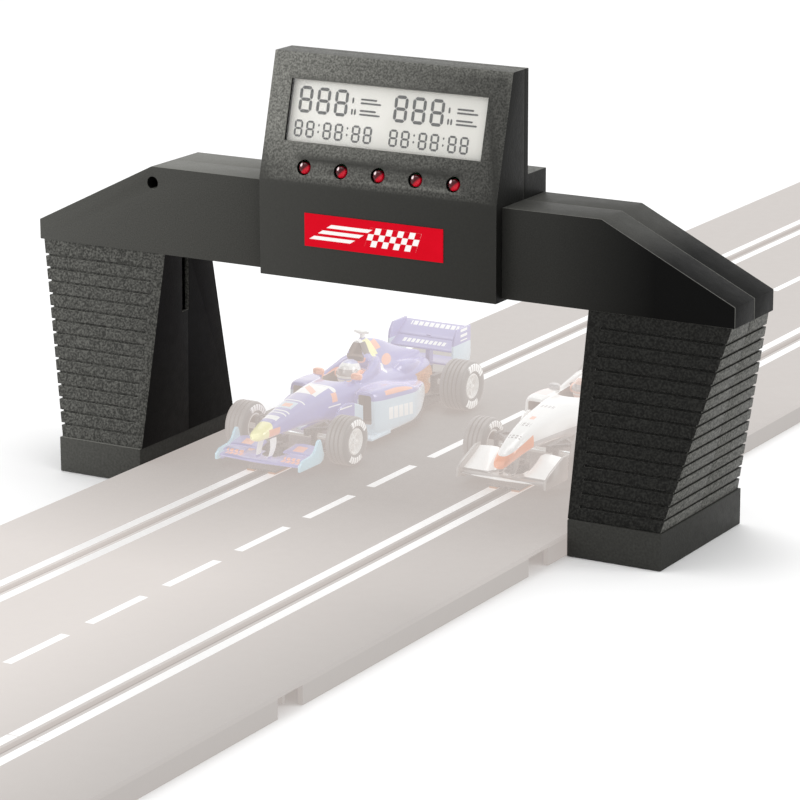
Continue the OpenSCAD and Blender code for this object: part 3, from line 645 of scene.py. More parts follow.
# The display's sloping face
TILT = radians(15.05)
UP_FACE = Vector((0, sin(TILT), cos(TILT)))
OUT_OF_FACE = Vector((0, -cos(TILT), sin(TILT)))
PANEL_T = 2.6
PANEL_EDGE = 1.0
LANE_READOUTS = (3.9, 47.7)
LAP_DIGIT = (4.8, 9.4, 1.3)          # width, height and stroke
TIME_DIGIT = (3.0, 6.0, 0.85)
LAP_PITCH = 8.25
TIME_PITCH = 5.4
PAIR_PITCH = 13.3
ROW_PITCH = 4.5
LENS_R = 2.5


def face_matrix(corner):
    """From (right, up, out) on the display's face to the CAD frame."""
    turn = Matrix((Vector((1, 0, 0)), UP_FACE, OUT_OF_FACE)).transposed().to_4x4()
    return Matrix.Translation(corner) @ turn


def bar(form, a, b, width):
    """One display segment from a to b on the face, with pointed ends."""
    a, b = Vector(a), Vector(b)
    along = (b - a).normalized() * width / 2
    side = Vector((-along.y, along.x))
    outline = [a, a + along + side, b - along + side, b, b - along - side, a + along - side]
    form.prism([tuple(point) for point in outline], 2, 0.02, 0.1)


def digit(form, left, bottom, width, height, stroke):
    """An eight with all seven segments."""
    gap = stroke * 0.14
    right, top, waist = left + width, bottom + height, bottom + height / 2
    for level in (bottom, waist, top):
        bar(form, (left + gap, level), (right - gap, level), stroke)
    for x in (left, right):
        bar(form, (x, bottom + gap), (x, waist - gap), stroke)
        bar(form, (x, waist + gap), (x, top - gap), stroke)


def draw_lane(form, left, top):
    """A lane's readout: lap digits, two small rows of strokes beside them, and time digits."""
    for i in range(3):
        digit(form, left + LAP_PITCH * i, top - 12.6, *LAP_DIGIT)
    for row, strokes in enumerate((1, 2)):
        base = top - 7.7 - ROW_PITCH * row
        for i in range(strokes):
            x = left + 24.2 + 1.4 * i
            bar(form, (x, base), (x, base + 2.5), 0.8)
        for rise, end in ((0.5, 37.2), (2.0, 35.2)):
            bar(form, (left + 27.6, base + rise), (left + end, base + rise), 0.75)
    for pair in range(3):
        first = left - 0.9 + PAIR_PITCH * pair
        for i in range(2):
            digit(form, first + TIME_PITCH * i, top - 22.6, *TIME_DIGIT)
        if pair < 2:
            for level in (top - 20.9, top - 18.2):
                bar(form, (first + 10.8, level), (first + 10.8, level + 1.1), 0.7)


def build_readout():
    """The panel, and both lanes' digits and strokes drawn on it."""
    low, high = box_mm("lcd_panel")
    corner = Vector((low.x, low.y, low.z + PANEL_T * sin(TILT)))
    top = (high.z - corner.z) / cos(TILT) - PANEL_EDGE
    segments = Form()
    for lane_x in LANE_READOUTS:
        draw_lane(segments, PANEL_EDGE + lane_x, top)
    ink = Shader("segment_ink", rgb(40, 40, 38), 0.5, specular_ior_level=0.2)
    ink.paint(ink.mix(ink.noise(1.5), rgb(34, 34, 32), rgb(54, 54, 52)))
    glass = Shader("lcd_look", rgb(225, 223, 216), 0.35, coat_weight=0.3)
    glass.paint(glass.mix(glass.noise(40.0), rgb(214, 212, 204), rgb(232, 230, 224)),
                (glass.span(glass.noise(0.35), 0.0, 0.12), rgb(190, 190, 180)))
    body, nodes = BODY_OF["lcd_panel"], ["lcd_panel"]
    cad_form("lcd_panel").soften(0.2).piece("lcd_panel_skin", body, nodes, glass.material)
    drawn = Form().add(segments, face_matrix(corner))
    drawn.piece("lcd_segments", body, nodes, ink.material)


def lens_look():
    """Deep red lens with a painted glow low on its right and a painted white highlight high on its left.
    """
    s = Shader("light_lens", rgb(96, 6, 18), 0.08, coat_weight=0.2, coat_roughness=0.02,
               specular_ior_level=0.2)
    nx, _, nz = s.normal()
    # Painted glow and painted highlight, placed by the direction each face looks in
    painted_red_glow = s.above(s.less(nx, nz), 0.05, 0.5)
    painted_white_highlight = s.below(s.far(nx, -0.35, nz, 0.62), 0.2, 0.08)
    s.paint(s.mix(s.noise(1.6), rgb(52, 2, 8), rgb(84, 4, 16)),
            (painted_red_glow, rgb(206, 12, 40)),
            (painted_white_highlight, rgb(250, 226, 228)))
    return s.material


def build_start_lights():
    lights = Form()
    dome = [(LENS_R * sin(a), LENS_R * cos(a)) for a in np.linspace(0, pi / 2, 9)]
    turn = OUT_OF_FACE.to_track_quat("X", "Z").to_matrix().to_4x4()
    for low, high in islands("start_lights"):
        length = (high.y - low.y - 2 * LENS_R * sin(TILT)) / cos(TILT)
        neck = length - LENS_R
        profile = [(0, THIN), (0, LENS_R)] + [(neck + x, max(r, THIN)) for x, r in dome]
        start = (low + high) / 2 - OUT_OF_FACE * length / 2
        lights.add(Form().lathe(profile, 40), Matrix.Translation(start) @ turn)
    lights.piece("start_light_domes", BODY_OF["start_lights"], ["start_lights"], lens_look())


def plate_look():
    """Red printed plate with a plain chequer and speed lines, set slanting."""
    low, high = box_mm("name_plate")
    mid = (low + high) / 2
    s = Shader("plate_print", rgb(214, 6, 30), 0.55, specular_ior_level=0.04)
    up = s.less(s.z, mid.z)
    along = s.sum(s.less(s.x, mid.x), up, -0.35)
    square = 2.6
    columns = s.dashes(along, 2 * square, 0.5)
    rows = s.dashes(up, 2 * square, 0.5, -1.5 * square)
    same = s.without(s.size(s.less(columns, rows)))
    chequer = s.all(same, s.inside(along, -2.6, 20.8), s.inside(up, -3.9, 3.9))
    lines = s.all(s.dashes(up, square, 0.55, -3.6), s.inside(up, -3.7, 3.9),
                  s.inside(s.sum(along, up, -1.2), -24.0, -5.0))
    s.paint(s.mix(s.noise(12.0), rgb(206, 4, 26), rgb(222, 8, 36)),
            (s.any(chequer, lines), rgb(250, 248, 246)))
    s.gloss(2.0, 0.45, 0.6)
    return s.material


# ---- track

TRACK = rgb(192, 186, 182)
GANTRY_Y = middle("display_front").y
SLOT_X = 49.5
DASH_PERIOD = 345 / 7
DASH_SHARE = 0.71
DASH_HALF_WIDTH = 1.9
TONGUE = 7
SURFACE = 8.4
HALF_WIDTH = box_mm("straight_1")[1].x


def track_look():
    """Grained pale running surface, with dashes between the lanes and wear beside the slots.

    Painted light makes it paler well in front of the gantry and a little paler behind it, which leaves
    painted shade round the gantry; in front of it, painted shade grows to the right. It is darker
    on its sides below the running surface, and it gives off a painted glow.
    """
    s = Shader("track_surface", TRACK, 0.62, specular_ior_level=0.3)
    start = box_mm("straight_1")[0].y + TONGUE + DASH_PERIOD * (1 - DASH_SHARE) / 2
    fine = s.noise(0.7, 3.0)
    top = s.above(s.z, SURFACE)
    from_slot = s.size(s.less(s.size(s.x), SLOT_X))
    wheel = s.inside(from_slot, 16.0, 31.0, 6.0)
    dash = s.patch(s.dashes(s.y, DASH_PERIOD, DASH_SHARE, start), x=(None, DASH_HALF_WIDTH),
                   z=(SURFACE, None))
    to_right = s.above(s.x, 0.0, HALF_WIDTH)
    near = s.below(s.y, GANTRY_Y - 140.0, 120.0)
    far = s.above(s.y, GANTRY_Y + 30.0, 180.0)
    s.paint(s.mix(s.span(fine, -0.3, 1.3), shade(TRACK, 0.93), shade(TRACK, 1.06)),
            (s.span(s.noise(60.0, 3.0, stretch=(1, 3, 1)), 0.0, 0.3), shade(TRACK, 0.93)),
            (s.all(wheel, top, s.span(s.noise(9.0, 4.0, stretch=(1, 8, 1)), 0.0, 0.5)),
             shade(TRACK, 0.95)),
            # Painted light: paler behind the gantry and paler still in front of it, leaving painted shade
            # round the gantry
            (far, shade(TRACK, 1.1)),
            (near, shade(TRACK, 1.32)),
            # Painted shade to the right, in front of the gantry
            (s.all(near, to_right), shade(TRACK, 0.96)),
            (s.below(s.z, 7.0), shade(TRACK, 0.9)),
            (dash, rgb(252, 251, 250)))
    s.gloss(5.0, 0.55, 0.72)
    s.bump(fine, 0.06)
    return s.add_painted_glow()


# ---- cars

FRONT_R = (box_mm("blue_front_tyres")[1].z - box_mm("blue_front_tyres")[0].z) / 2
REAR_R = (box_mm("blue_rear_tyres")[1].z - box_mm("blue_rear_tyres")[0].z) / 2
RIM_R = 5.6
PIN_ROOM = 4.6
RIM_BACK = box_mm("blue_rear_tyres")[1].x - 3.6 - middle("blue_rear_axle").x
GUIDE_Y = middle("blue_guide").y - middle("blue_front_axle").y
DARK = rgb(182, 173, 168)
WHITE = rgb(246, 245, 243)
ORANGE = rgb(246, 206, 190)
YELLOW = rgb(250, 246, 206)
BLUE = rgb(200, 195, 219)
VISOR = rgb(212, 206, 203)
PALE = rgb(222, 230, 236)
LIGHT_GREY = rgb(216, 212, 210)
MARK = rgb(196, 190, 188)
COCKPIT_Y = 38.0
COCKPIT_HALF = (7.0, 11.4)


def cockpit_outline():
    half_x, half_y = COCKPIT_HALF
    outline = []
    for i in range(RING_POINTS):
        turn = 2 * pi * i / RING_POINTS
        outline.append((half_x * signed_power(cos(turn), 0.8),
                        COCKPIT_Y + half_y * signed_power(sin(turn), 0.8)))
    return outline


def body_form(droop=0.0):
    """Nose, tub, sidepods, airbox and engine cover as one hollow moulding.

    The tip of the nose is lower by droop."""
    body = Form().hull([
        (y, x, half, low - droop * lowered(y), high - droop * lowered(y), power, peak)
        for y, x, half, low, high, power, peak in (
            (-33.3, 0, 0.5, 14.9, 15.8, 2.2, 0), (-32.8, 0, 1.6, 14.4, 16.6, 2.3, 0),
            (-31, 0, 2.8, 14.0, 17.8, 2.5, 0), (-27, 0, 3.7, 13.9, 19.3, 2.8, 0.05),
            (-22, 0, 4.4, 13.9, 20.8, 3.0, 0.08), (-12, 0, 5.6, 13.9, 22.8, 3.4, 0.12),
            (0, 0, 7.0, 13.7, 24.8, 3.6, 0.14), (10, 0, 8.2, 13.0, 26.0, 3.6, 0.14),
            (17, 0, 9.3, 11.4, 26.5, 3.6, 0.12), (24, 0, 10.8, 8.4, 26.5, 3.6, 0.1),
            (32, 0, 12.1, 5.4, 26.2, 4.0, 0.1), (42, 0, 12.3, 4.6, 26.6, 4.0, 0.1),
            (54, 0, 12.0, 4.2, 26.4, 3.6, 0.1), (64, 0, 11.4, 6.0, 24.4, 3.2, 0.1),
            (76, 0, 10.4, 9.0, 22.4, 3.0, 0.1), (90, 0, 9.0, 12.4, 21.4, 2.8, 0.1),
            (101.8, 0, 6.4, 13.2, 20.6, 2.6, 0.1))])
    body.hull([
        (48.2, 0, 5.4, 30.6, 38.5, 4, 0.76), (50.5, 0, 6.2, 29.0, 39.0, 4, 0.76),
        (54, 0, 7.0, 24.0, 38.9, 3.4, 0.74), (59, 0, 7.4, 18.0, 38.0, 2.8, 0.66),
        (67, 0, 7.6, 16.0, 35.8, 2.4, 0.6), (79, 0, 7.0, 14.0, 30.8, 2.3, 0.6),
        (92, 0, 5.2, 13.0, 26.0, 2.3, 0.6), (101.8, 0, 3.4, 13.0, 23.2, 2.3, 0.5)])
    sides = Form().hull([
        (28.6, 16.2, 4.6, 6.0, 23.0, 5, 0.04), (30.2, 16.1, 5.4, 4.4, 23.3, 5, 0.05),
        (36.5, 15.8, 6.5, 3.4, 23.3, 6, 0.05), (46, 15.7, 6.6, 3.2, 22.8, 6, 0.05),
        (54, 15.4, 6.9, 3.2, 21.4, 6, 0.05), (61, 14.8, 7.3, 3.3, 19.4, 6, 0.05),
        (68, 13.6, 6.8, 3.5, 17.6, 5, 0.08), (78, 11.6, 4.8, 4.2, 15.6, 4, 0.1),
        (86, 10.2, 2.4, 6.0, 14.0, 3, 0.1)])
    sides.hull([
        (36, 8.9, 1.3, 22, 26.4, 3, 0.2), (41, 8.7, 1.7, 22, 27.4, 3, 0.2),
        (47, 8.0, 2.1, 22, 29.0, 3, 0.2), (52, 6.6, 2.8, 22, 30.8, 3, 0.2),
        (57, 4.8, 3.0, 22, 31.4, 3, 0.2)])
    sides.hull([
        (69, 6.6, 0.6, 18, 22.4, 2, 0), (73, 6.6, 2.2, 17, 24.6, 2, 0),
        (79, 6.4, 2.6, 17, 24.8, 2, 0), (87, 6.0, 1.9, 17, 23.2, 2, 0),
        (93, 5.6, 0.6, 17, 21.2, 2, 0)])
    sides.hull([
        (31.6, 9.4, 0.5, 27.0, 28.0, 2.4, 0), (32.2, 9.4, 1.9, 26.3, 28.9, 2.6, 0),
        (34.8, 9.4, 2.2, 26.2, 29.1, 2.6, 0), (36.4, 9.4, 1.2, 26.8, 28.5, 2.4, 0)])
    sides.loft([
        [(x - 0.55, y, 4.2), (x + 0.55, y, 4.2), (x + 0.55, y, top), (x - 0.55, y, top)]
        for y, x, top in (
            (9.4, 13.0, 13.5), (10.1, 13.1, 16.6), (11.5, 13.2, 18.6), (14, 13.5, 20.0),
            (17.5, 13.9, 20.6), (21, 14.5, 20.2), (25, 15.3, 18.6), (29.5, 16.6, 16.6))])
    sides.block((12, 24, 3.3), (22.3, 40, 4.6))
    body.add(sides.both_sides())
    body.hull([
        (52.0, 0, 1.2, 41.3, 42.1, 2.2, 0), (52.7, 0, 3.3, 41.0, 42.5, 2.6, 0),
        (54.4, 0, 3.6, 40.9, 42.6, 2.6, 0), (56.0, 0, 1.4, 41.2, 42.2, 2.2, 0)])
    body.block((-0.8, 52.8, 36.5), (0.8, 55.6, 41.6))
    body.loft([[(x, 28.2 + rise * 1.4 + x * x / 40, z) for x, z in (
        (-6.4, 25.0), (6.4, 25.0), (5.6, 25.0 + 2.6 * rise), (-5.6, 25.0 + 2.6 * rise))]
        for rise in (0.75, 1.0)])
    body.fused(0.42, 4)

    mouths = Form().prism([(12.7, 9.0), (19.6, 9.0), (19.4, 21.6), (12.9, 21.6)], 1, 27, 34.5)
    return body.cut(
        Form().prism(cockpit_outline(), 2, 15, 45),
        Form().block((-5, -8, 2), (5, 22.5, 19)),
        Form().block((-9.4, 17, 2), (9.4, 62, 13.4)),
        Form().block((-9.2, 62.2, 2), (9.2, 103.6, 17.4)),
        mouths.soften(1.0, 3).both_sides(),
        Form().prism([(-3.9, 31.8), (3.9, 31.8), (0.9, 37.7), (-0.9, 37.7)], 1, 46.5, 53))


def lowered(y):
    """How far the nose has bent down at y, from 0 at its root to 1 at its tip."""
    return min(max((-6 - y) / 27, 0.0), 1.0) ** 1.5


def shaded_openings(s):
    """Masks of the openings (cockpit, sidepods and airbox), where shade is painted, and of the cockpit's
    rim.
    """
    half_x, half_y = COCKPIT_HALF
    across = s.math("POWER", s.math("DIVIDE", s.size(s.x), half_x), 2.5)
    along = s.math("POWER", s.math("DIVIDE", s.size(s.less(s.y, COCKPIT_Y)), half_y), 2.5)
    ring = s.sum(across, along)
    mouth = s.patch(x=(12.5, 19.8), y=(29.3, 35.0), z=(8.8, 21.8))
    intake = s.patch(x=(None, 4.1), y=(48.6, 53.4), z=(31.6, 37.9))
    inside = s.patch(s.below(ring, 1.03, 0.01), z=(10.0, 33.0))
    rim = s.patch(s.inside(ring, 1.03, 1.26, 0.01), y=(30.5, None), z=(24.0, 32.0))
    return s.any(mouth, intake, inside), rim


# Gloss paint's roughness and fine bumps, with a painted glow that lifts its shade
def gloss_paint(s):
    s.gloss(3.0, 0.16, 0.3, detail=3.0)
    s.bump(s.noise(0.9, 1.0), 0.005)
    return s.add_painted_glow()


def blue_livery():
    s = Shader("blue_livery", BLUE, 0.22, coat_weight=0.5, coat_roughness=0.06)
    up = s.facing_up()
    side = s.without(up)
    waist = s.sum(s.z, s.less(s.y, 29.0), 0.1)
    pod = s.patch(side, x=(12.6, None), y=(22.0, None))
    blocks = s.all(s.dashes(s.y, 4.3, 0.78), s.inside(s.sum(s.z, s.less(s.y, 38.0), 0.11), 9.6, 14.8))
    fin = s.sum(s.y, s.z, 0.5)
    rings = s.any(*(s.inside(s.y, y, y + 0.8) for y in (-14.8, -12.6, -2.0)))
    dark, rim = shaded_openings(s)
    s.paint(
        s.mottled(BLUE, 9.0, 0.97, 1.03),
        (s.patch(s.below(waist, 19.4), x=(12.6, None), y=(22.0, None)), PALE),
        (s.patch(pod, blocks, y=(38.0, 58.8)), WHITE),
        (s.patch(pod, s.inside(waist, 21.2, 23.6), y=(36.6, 59.7)), ORANGE),
        (s.patch(side, x=(7.0, None), y=(15.6, 18.8), z=(20.4, 24.2)), ORANGE),
        (s.patch(side, x=(7.0, None), y=(12.8, 20.5), z=(18.6, 19.2)), WHITE),
        (s.below(s.far(s.y, 18.4, s.z, 25.4), 1.2), WHITE),
        (s.below(s.far(s.y, 60.4, s.z, 25.2), 1.9), WHITE),
        (s.below(s.far(s.y, 66.0, s.z, 27.6, 1.8), 4.2), ORANGE),
        (s.patch(s.inside(fin, 70.2, 75.8), z=(31.2, 38.6)), YELLOW),
        (s.patch(s.inside(fin, 75.8, 80.6), z=(33.0, 37.0)), ORANGE),
        (s.patch(up, x=(None, 5.4), y=(6.5, 17.5)), WHITE),
        (s.patch(up, s.inside(s.sum(s.y, s.x, 0.9), 9.6, 13.4), x=(None, 3.6)), ORANGE),
        (s.patch(up, x=(None, 3.4), y=(-9.6, -3.4)), PALE),
        (s.patch(up, x=(None, 2.0), y=(-8.2, -5.0)), ORANGE),
        (s.all(up, rings), WHITE),
        (s.below(s.sum(s.y, s.z, -0.4), -31.4), YELLOW),
        (s.patch(side, x=(2.4, None), y=(-26.4, -19.4), z=(14.6, 18.0)), ORANGE),
        (s.patch(up, x=(None, 3.2), y=(-20.6, -17.4)), WHITE),
        (s.patch(y=(None, 60.0), z=(39.2, None)), WHITE),
        (s.patch(y=(None, 51.6), z=(37.2, None)), WHITE),
        (s.patch(x=(6.8, None), y=(31.0, 37.0), z=(26.6, None)), ORANGE),
        (s.patch(y=(27.0, 31.0), z=(26.7, None)), WHITE),
        (rim, ORANGE),
        # Painted shade in the cockpit, the sidepod mouths and the airbox intake
        (dark, DARK))
    return gloss_paint(s)


def silver_livery():
    s = Shader("silver_livery", WHITE, 0.22, coat_weight=0.5, coat_roughness=0.06)
    up = s.facing_up()
    side = s.without(up)
    dark, rim = shaded_openings(s)
    swoosh = s.sum(s.z, s.sum(s.y, 33.0), -0.3)
    tiny = s.all(up, s.dashes(s.x, 1.7, 0.6, 0.3), s.dashes(s.y, 1.3, 0.6))
    s.paint(
        s.mottled(WHITE, 9.0, 0.97, 1.0),
        # Painted shade: the white body is painted greyer on its lower sides at the front
        (s.patch(side, y=(None, 30.0), z=(None, 17.0)), LIGHT_GREY),
        (s.patch(s.below(swoosh, 13.6), y=(None, -12.0)), rgb(247, 190, 165)),
        (s.patch(tiny, x=(None, 2.7), y=(-19.5, -17.0)), MARK),
        (s.patch(tiny, x=(None, 2.2), y=(-10.5, -7.6)), MARK),
        (s.patch(up, x=(None, 1.0), y=(-4.4, -1.6)), ORANGE),
        (s.patch(tiny, x=(None, 3.4), y=(8.5, 11.0)), MARK),
        (s.patch(up, x=(13.6, None), y=(34.0, 56.0)), rgb(240, 226, 222)),
        (s.patch(side, x=(12.0, None), y=(38.0, 58.0), z=(9.0, 12.6)), MARK),
        (s.patch(side, y=(59.0, 77.0), z=(26.0, 28.8)), MARK),
        (s.patch(x=(6.8, None), y=(31.0, 37.0), z=(26.6, None)), LIGHT_GREY),
        (s.patch(rim, y=(43.0, None)), MARK),
        # Painted shade in the cockpit, the sidepod mouths and the airbox intake
        (dark, DARK))
    return gloss_paint(s)


def wing_paint(name, base, spots):
    """Gloss wing paint. spots(s) gives the painted (mask, colour) pairs."""
    s = Shader(name, base, 0.25, coat_weight=0.4, coat_roughness=0.08)
    s.paint(s.mottled(base, 7.0, 0.96, 1.02), *spots(s))
    return gloss_paint(s)


def blue_front_spots(s):
    return [
        (s.patch(s.dashes(s.x, 2.3, 0.7), x=(9.0, 17.6), y=(-27.4, -24.6)), ORANGE),
        (s.patch(x=(10.0, 15.0), y=(-19.0, -14.6)), ORANGE),
        (s.patch(x=(19.4, None)), rgb(214, 232, 240)),
        (s.patch(x=(None, 4.2), z=(6.6, None)), WHITE),
    ]


def silver_front_spots(s):
    return [
        (s.patch(y=(-29.4, None), z=(None, 6.4)), rgb(192, 186, 182)),
        (s.patch(x=(19.4, None)), rgb(206, 201, 197)),
        (s.patch(x=(None, 4.2), z=(6.6, None)), rgb(190, 184, 180)),
    ]


def blue_rear_spots(s):
    return [
        (s.patch(x=(15.6, None), z=(None, 26.0)), PALE),
        (s.patch(s.dashes(s.x, 2.7, 0.75), x=(None, 12.0), y=(109.0, 118.0), z=(30.2, 32.6)), WHITE),
        (s.patch(s.dashes(s.z, 2.4, 0.5), x=(16.6, None), y=(110.0, 116.0), z=(27.0, None)), WHITE),
        (s.patch(s.dashes(s.x, 2.2, 0.7), x=(None, 11.0), y=(None, 109.0), z=(24.8, 26.2)), WHITE),
        (s.patch(z=(None, 14.0)), DARK),
    ]


def silver_rear_spots(s):
    return [
        (s.patch(s.dashes(s.x, 3.3, 0.7), x=(None, 10.0), z=(30.0, None)), MARK),
        (s.patch(x=(15.6, None)), rgb(226, 222, 220)),
        (s.patch(z=(None, 14.0)), DARK),
    ]


def rib(x, *shape):
    """An aerofoil across the car at x."""
    return [(x, y, z) for y, z in aerofoil(*shape)]


def endplate(form, outline, x, thick):
    form.add(Form().prism(outline, 0, x - thick / 2, x + thick / 2).soften(0.25, 2))


def front_wing_form(steep):
    """Main plane with room for the guide's pin, flaps, end plates and pylons under the nose."""
    wing = Form()
    rows = []
    for x in np.linspace(-19.6, 19.6, 57):
        front, rear = -28.8 - 1.2 * cos(x / 13), -15.6
        if abs(x) < PIN_ROOM:
            rear = min(rear, GUIDE_Y - sqrt(PIN_ROOM ** 2 - x * x))
        rows.append(rib(x, front, rear, 4.9, 1.5, 0.5))
    wing.loft(rows)
    half = Form()
    if steep:
        half.loft([
            rib(x, -27, -12.4, 5.6, 1.2, rise, -0.6)
            for x, rise in ((6.6, 0.6), (7.6, 3.4), (8.8, 6.2), (10.8, 7.2), (14, 7.3), (19.7, 6.8))])
        half.loft([rib(x, -24, -18.6, 5.9, 0.8, 0.8) for x in (6.2, 19.7)])
        outline = [(-30.3, 3.3), (-30, 7.0), (-26, 9.4), (-15, 13.5), (-11.2, 13.5), (-11.2, 3.3)]
    else:
        half.loft([
            rib(x, -20.4, -12.6, 7.4, 1.1, rise, -0.3)
            for x, rise in ((6.2, 1.0), (7.6, 2.0), (11, 2.5), (16, 2.4), (19.7, 1.8))])
        half.loft([rib(x, -25.8, -20, 6.6, 0.8, 0.8) for x in (10, 19.7)])
        outline = [(-30.3, 3.3), (-30.3, 5.8), (-27.6, 7.6), (-21, 8.2), (-18.4, 9.4), (-16.2, 12.6),
                   (-15.2, 13.5), (-13.8, 13.4), (-13, 11.6), (-12.2, 8.6), (-11.1, 6.4),
                   (-12, 4.4), (-14.4, 3.3)]
    endplate(half, outline, 20.1, 1.2)
    half.block((18.2, -28, 3.3), (20, -13, 3.9))
    pylon = []
    for t in np.linspace(0, 1, 9):
        y = -22 - 3.4 * t ** 1.5
        z = 13.5 - 8.3 * t
        chord = 5.2 - 1.6 * t
        x = 2.6 + 0.6 * sin(pi * t)
        pylon.append([(x - 0.5, y, z), (x, y - chord / 2, z), (x + 0.5, y, z), (x, y + chord / 2, z)])
    half.loft(pylon)
    return wing.add(half.both_sides())


def rear_wing_form():
    """Two upper planes, the lower plane, end plates and the middle pillar."""
    wing = Form()
    for y0, y1, z, rise, thick in ((104.4, 112.4, 23.2, 4.6, 1.3), (110.6, 118.8, 26.8, 5.2, 1.3),
                                   (109.6, 118.6, 15.6, 1.4, 1.1)):
        wing.prism(aerofoil(y0, y1, z, thick, rise, -0.5), 0, -15.7, 15.7)
    outline = [(103.7, 13.2), (103.7, 25), (104.6, 29.4), (107.4, 32.8), (119.3, 32.8), (119.3, 20),
               (117, 13.2)]
    side = Form()
    endplate(side, outline, 16.2, 1.1)
    wing.add(side.both_sides())
    wing.loft([[(-1.0, y0, z), (1.0, y0, z), (1.0, y1, z), (-1.0, y1, z)]
               for z, y0, y1 in ((6.1, 109.7, 113), (12, 109.8, 113), (20, 110.2, 113.4), (28, 111, 115))])
    return wing


def tyre_form(r, track, width, grooves):
    """Rounded shoulders, a bead at the rim and grooves round the tread."""
    edge = width / 2
    tread = []
    for i in range(grooves):
        at = (i - (grooves - 1) / 2) * 2
        tread += [(at - 0.38, r), (at - 0.26, r - 0.6), (at + 0.26, r - 0.6), (at + 0.38, r)]
    side = [(edge - 0.75, RIM_R - 0.1), (edge - 0.35, RIM_R + 0.35), (edge - 0.05, RIM_R + 1.2),
            (edge, r - 3.0), (edge - 0.12, r - 1.7), (edge - 0.5, r - 0.75), (edge - 1.1, r - 0.2),
            (edge - 1.9, r)]
    profile = [(-x, y) for x, y in side] + tread + side[::-1]
    return Form().lathe(profile, 96, track / 2 - edge).both_sides()


def tyre_look(name, r):
    """Pale worn rubber with two arcs of block marks on each sidewall."""
    rubber = rgb(194, 188, 184)
    s = Shader(name, rubber, 0.6, specular_ior_level=0.5)
    radius = s.far(s.y, 0.0, s.z, 0.0)
    turn = s.math("MULTIPLY", s.math("ARCTAN2", s.z, s.y), 180 / pi)
    marks = s.all(
        s.inside(radius, RIM_R + 1.0, r - 1.1),
        s.any(s.inside(turn, 28.0, 118.0), s.inside(turn, -132.0, -62.0)),
        s.dashes(turn, 13.0, 0.8))
    band = s.all(s.above(radius, r - 0.4), s.span(s.noise(3.0, 3.0), 0.0, 0.5))
    s.paint(s.mottled(rubber, 0.5, 0.94, 1.05),
            (band, shade(rubber, 1.1)),
            (s.below(radius, r - 0.45, 0.3), shade(rubber, 0.94)),
            (marks, rgb(252, 251, 249)))
    s.gloss(1.5, 0.4, 0.55)
    s.bump(s.noise(0.3, 2.0), 0.02)
    return s.add_painted_glow()


def rim_form(track, width):
    """Dished barrel with a bright lip, seven spokes, hub and wheel nut."""
    edge = width / 2
    rim = Form().lathe([
        (-edge + 0.7, RIM_R - 0.9), (-edge + 0.7, RIM_R), (edge - 0.7, RIM_R),
        (edge - 0.45, RIM_R - 0.15), (edge - 0.4, RIM_R - 0.5), (edge - 0.9, RIM_R - 0.75),
        (edge - 2.0, RIM_R - 0.95), (edge - 3.2, RIM_R - 1.15)], 72)
    rim.lathe([(edge - 3.6, 1.25), (edge - 3.6, 1.9), (edge - 1.9, 1.7), (edge - 1.3, 1.4),
               (edge - 1.3, 1.25)], 40)
    rim.lathe([(edge - 1.6, THIN), (edge - 1.6, 1.2), (edge - 0.8, 1.2), (edge - 0.7, 0.7),
               (edge - 0.7, THIN)], 6)
    spokes = 7
    for i in range(spokes):
        spoke = Form().loft([
            [(edge - 2.9 - 0.5 * t, -w, z), (edge - 2.9 - 0.5 * t, w, z),
             (edge - 1.7 - 0.4 * t, w * 0.7, z), (edge - 1.7 - 0.4 * t, -w * 0.7, z)]
            for t, z, w in ((0, 1.5, 0.75), (0.4, 2.6, 0.5), (0.8, 3.7, 0.5), (1, 4.9, 0.7))])
        rim.add(spoke, Matrix.Rotation(2 * pi * i / spokes, 4, "X"))
    rim.lathe([(edge - 4.4, 1.25), (edge - 4.4, RIM_R - 0.9), (edge - 3.9, RIM_R - 0.9),
               (edge - 3.9, 1.25)], 48)
    return Form().add(rim, Matrix.Translation((track / 2 - edge, 0, 0))).both_sides()


def driver_form():
    """Helmet with a brow and chin bar, headrest pads and shoulders."""
    driver = Form().hull([
        (38.0, 0, 2.0, 23.0, 26.8, 2.4, 0.1), (38.9, 0, 3.6, 21.6, 29.0, 2.4, 0.12),
        (40.8, 0, 4.6, 21.2, 31.0, 2.4, 0.15), (43.4, 0, 5.0, 21.2, 31.7, 2.4, 0.18),
        (46.4, 0, 4.5, 21.8, 31.2, 2.4, 0.2), (48.2, 0, 2.8, 23.4, 29.6, 2.4, 0.2)])
    driver.hull([
        (37.2, 0, 5.4, 15.2, 19.0, 3, 0.2), (41, 0, 6.3, 15.2, 21.2, 3, 0.3),
        (47.8, 0, 6.2, 15.2, 21.2, 3, 0.3)])
    pads = Form().hull([
        (40.4, 5.2, 0.6, 25.0, 26.6, 2.2, 0), (41.4, 5.2, 1.1, 24.0, 27.4, 2.2, 0),
        (44.6, 5.2, 1.1, 24.0, 27.8, 2.2, 0), (46.4, 5.1, 0.6, 24.8, 27.2, 2.2, 0)])
    return driver.add(pads.both_sides())


def helmet_look(name, shell, crown):
    """Helmet paint with a dark visor band, over plain overalls and orange pads."""
    s = Shader(name, shell, 0.2, coat_weight=0.6)
    opening = s.below(s.sum(s.y, s.size(s.x), -0.25), 41.6)
    s.paint(s.mottled(shell, 5.0, 0.97, 1.0, detail=2.0),
            (s.above(s.sum(s.z, s.y, 0.15), 36.9), crown),
            (s.patch(opening, x=(None, 5.0), z=(25.6, 28.4)), VISOR),
            (s.patch(x=(None, 4.8), z=(24.0, 24.6)), crown),
            (s.patch(x=(4.9, None), z=(23.6, 28.0)), ORANGE),
            (s.patch(z=(None, 21.4)), DARK))
    return gloss_paint(s)


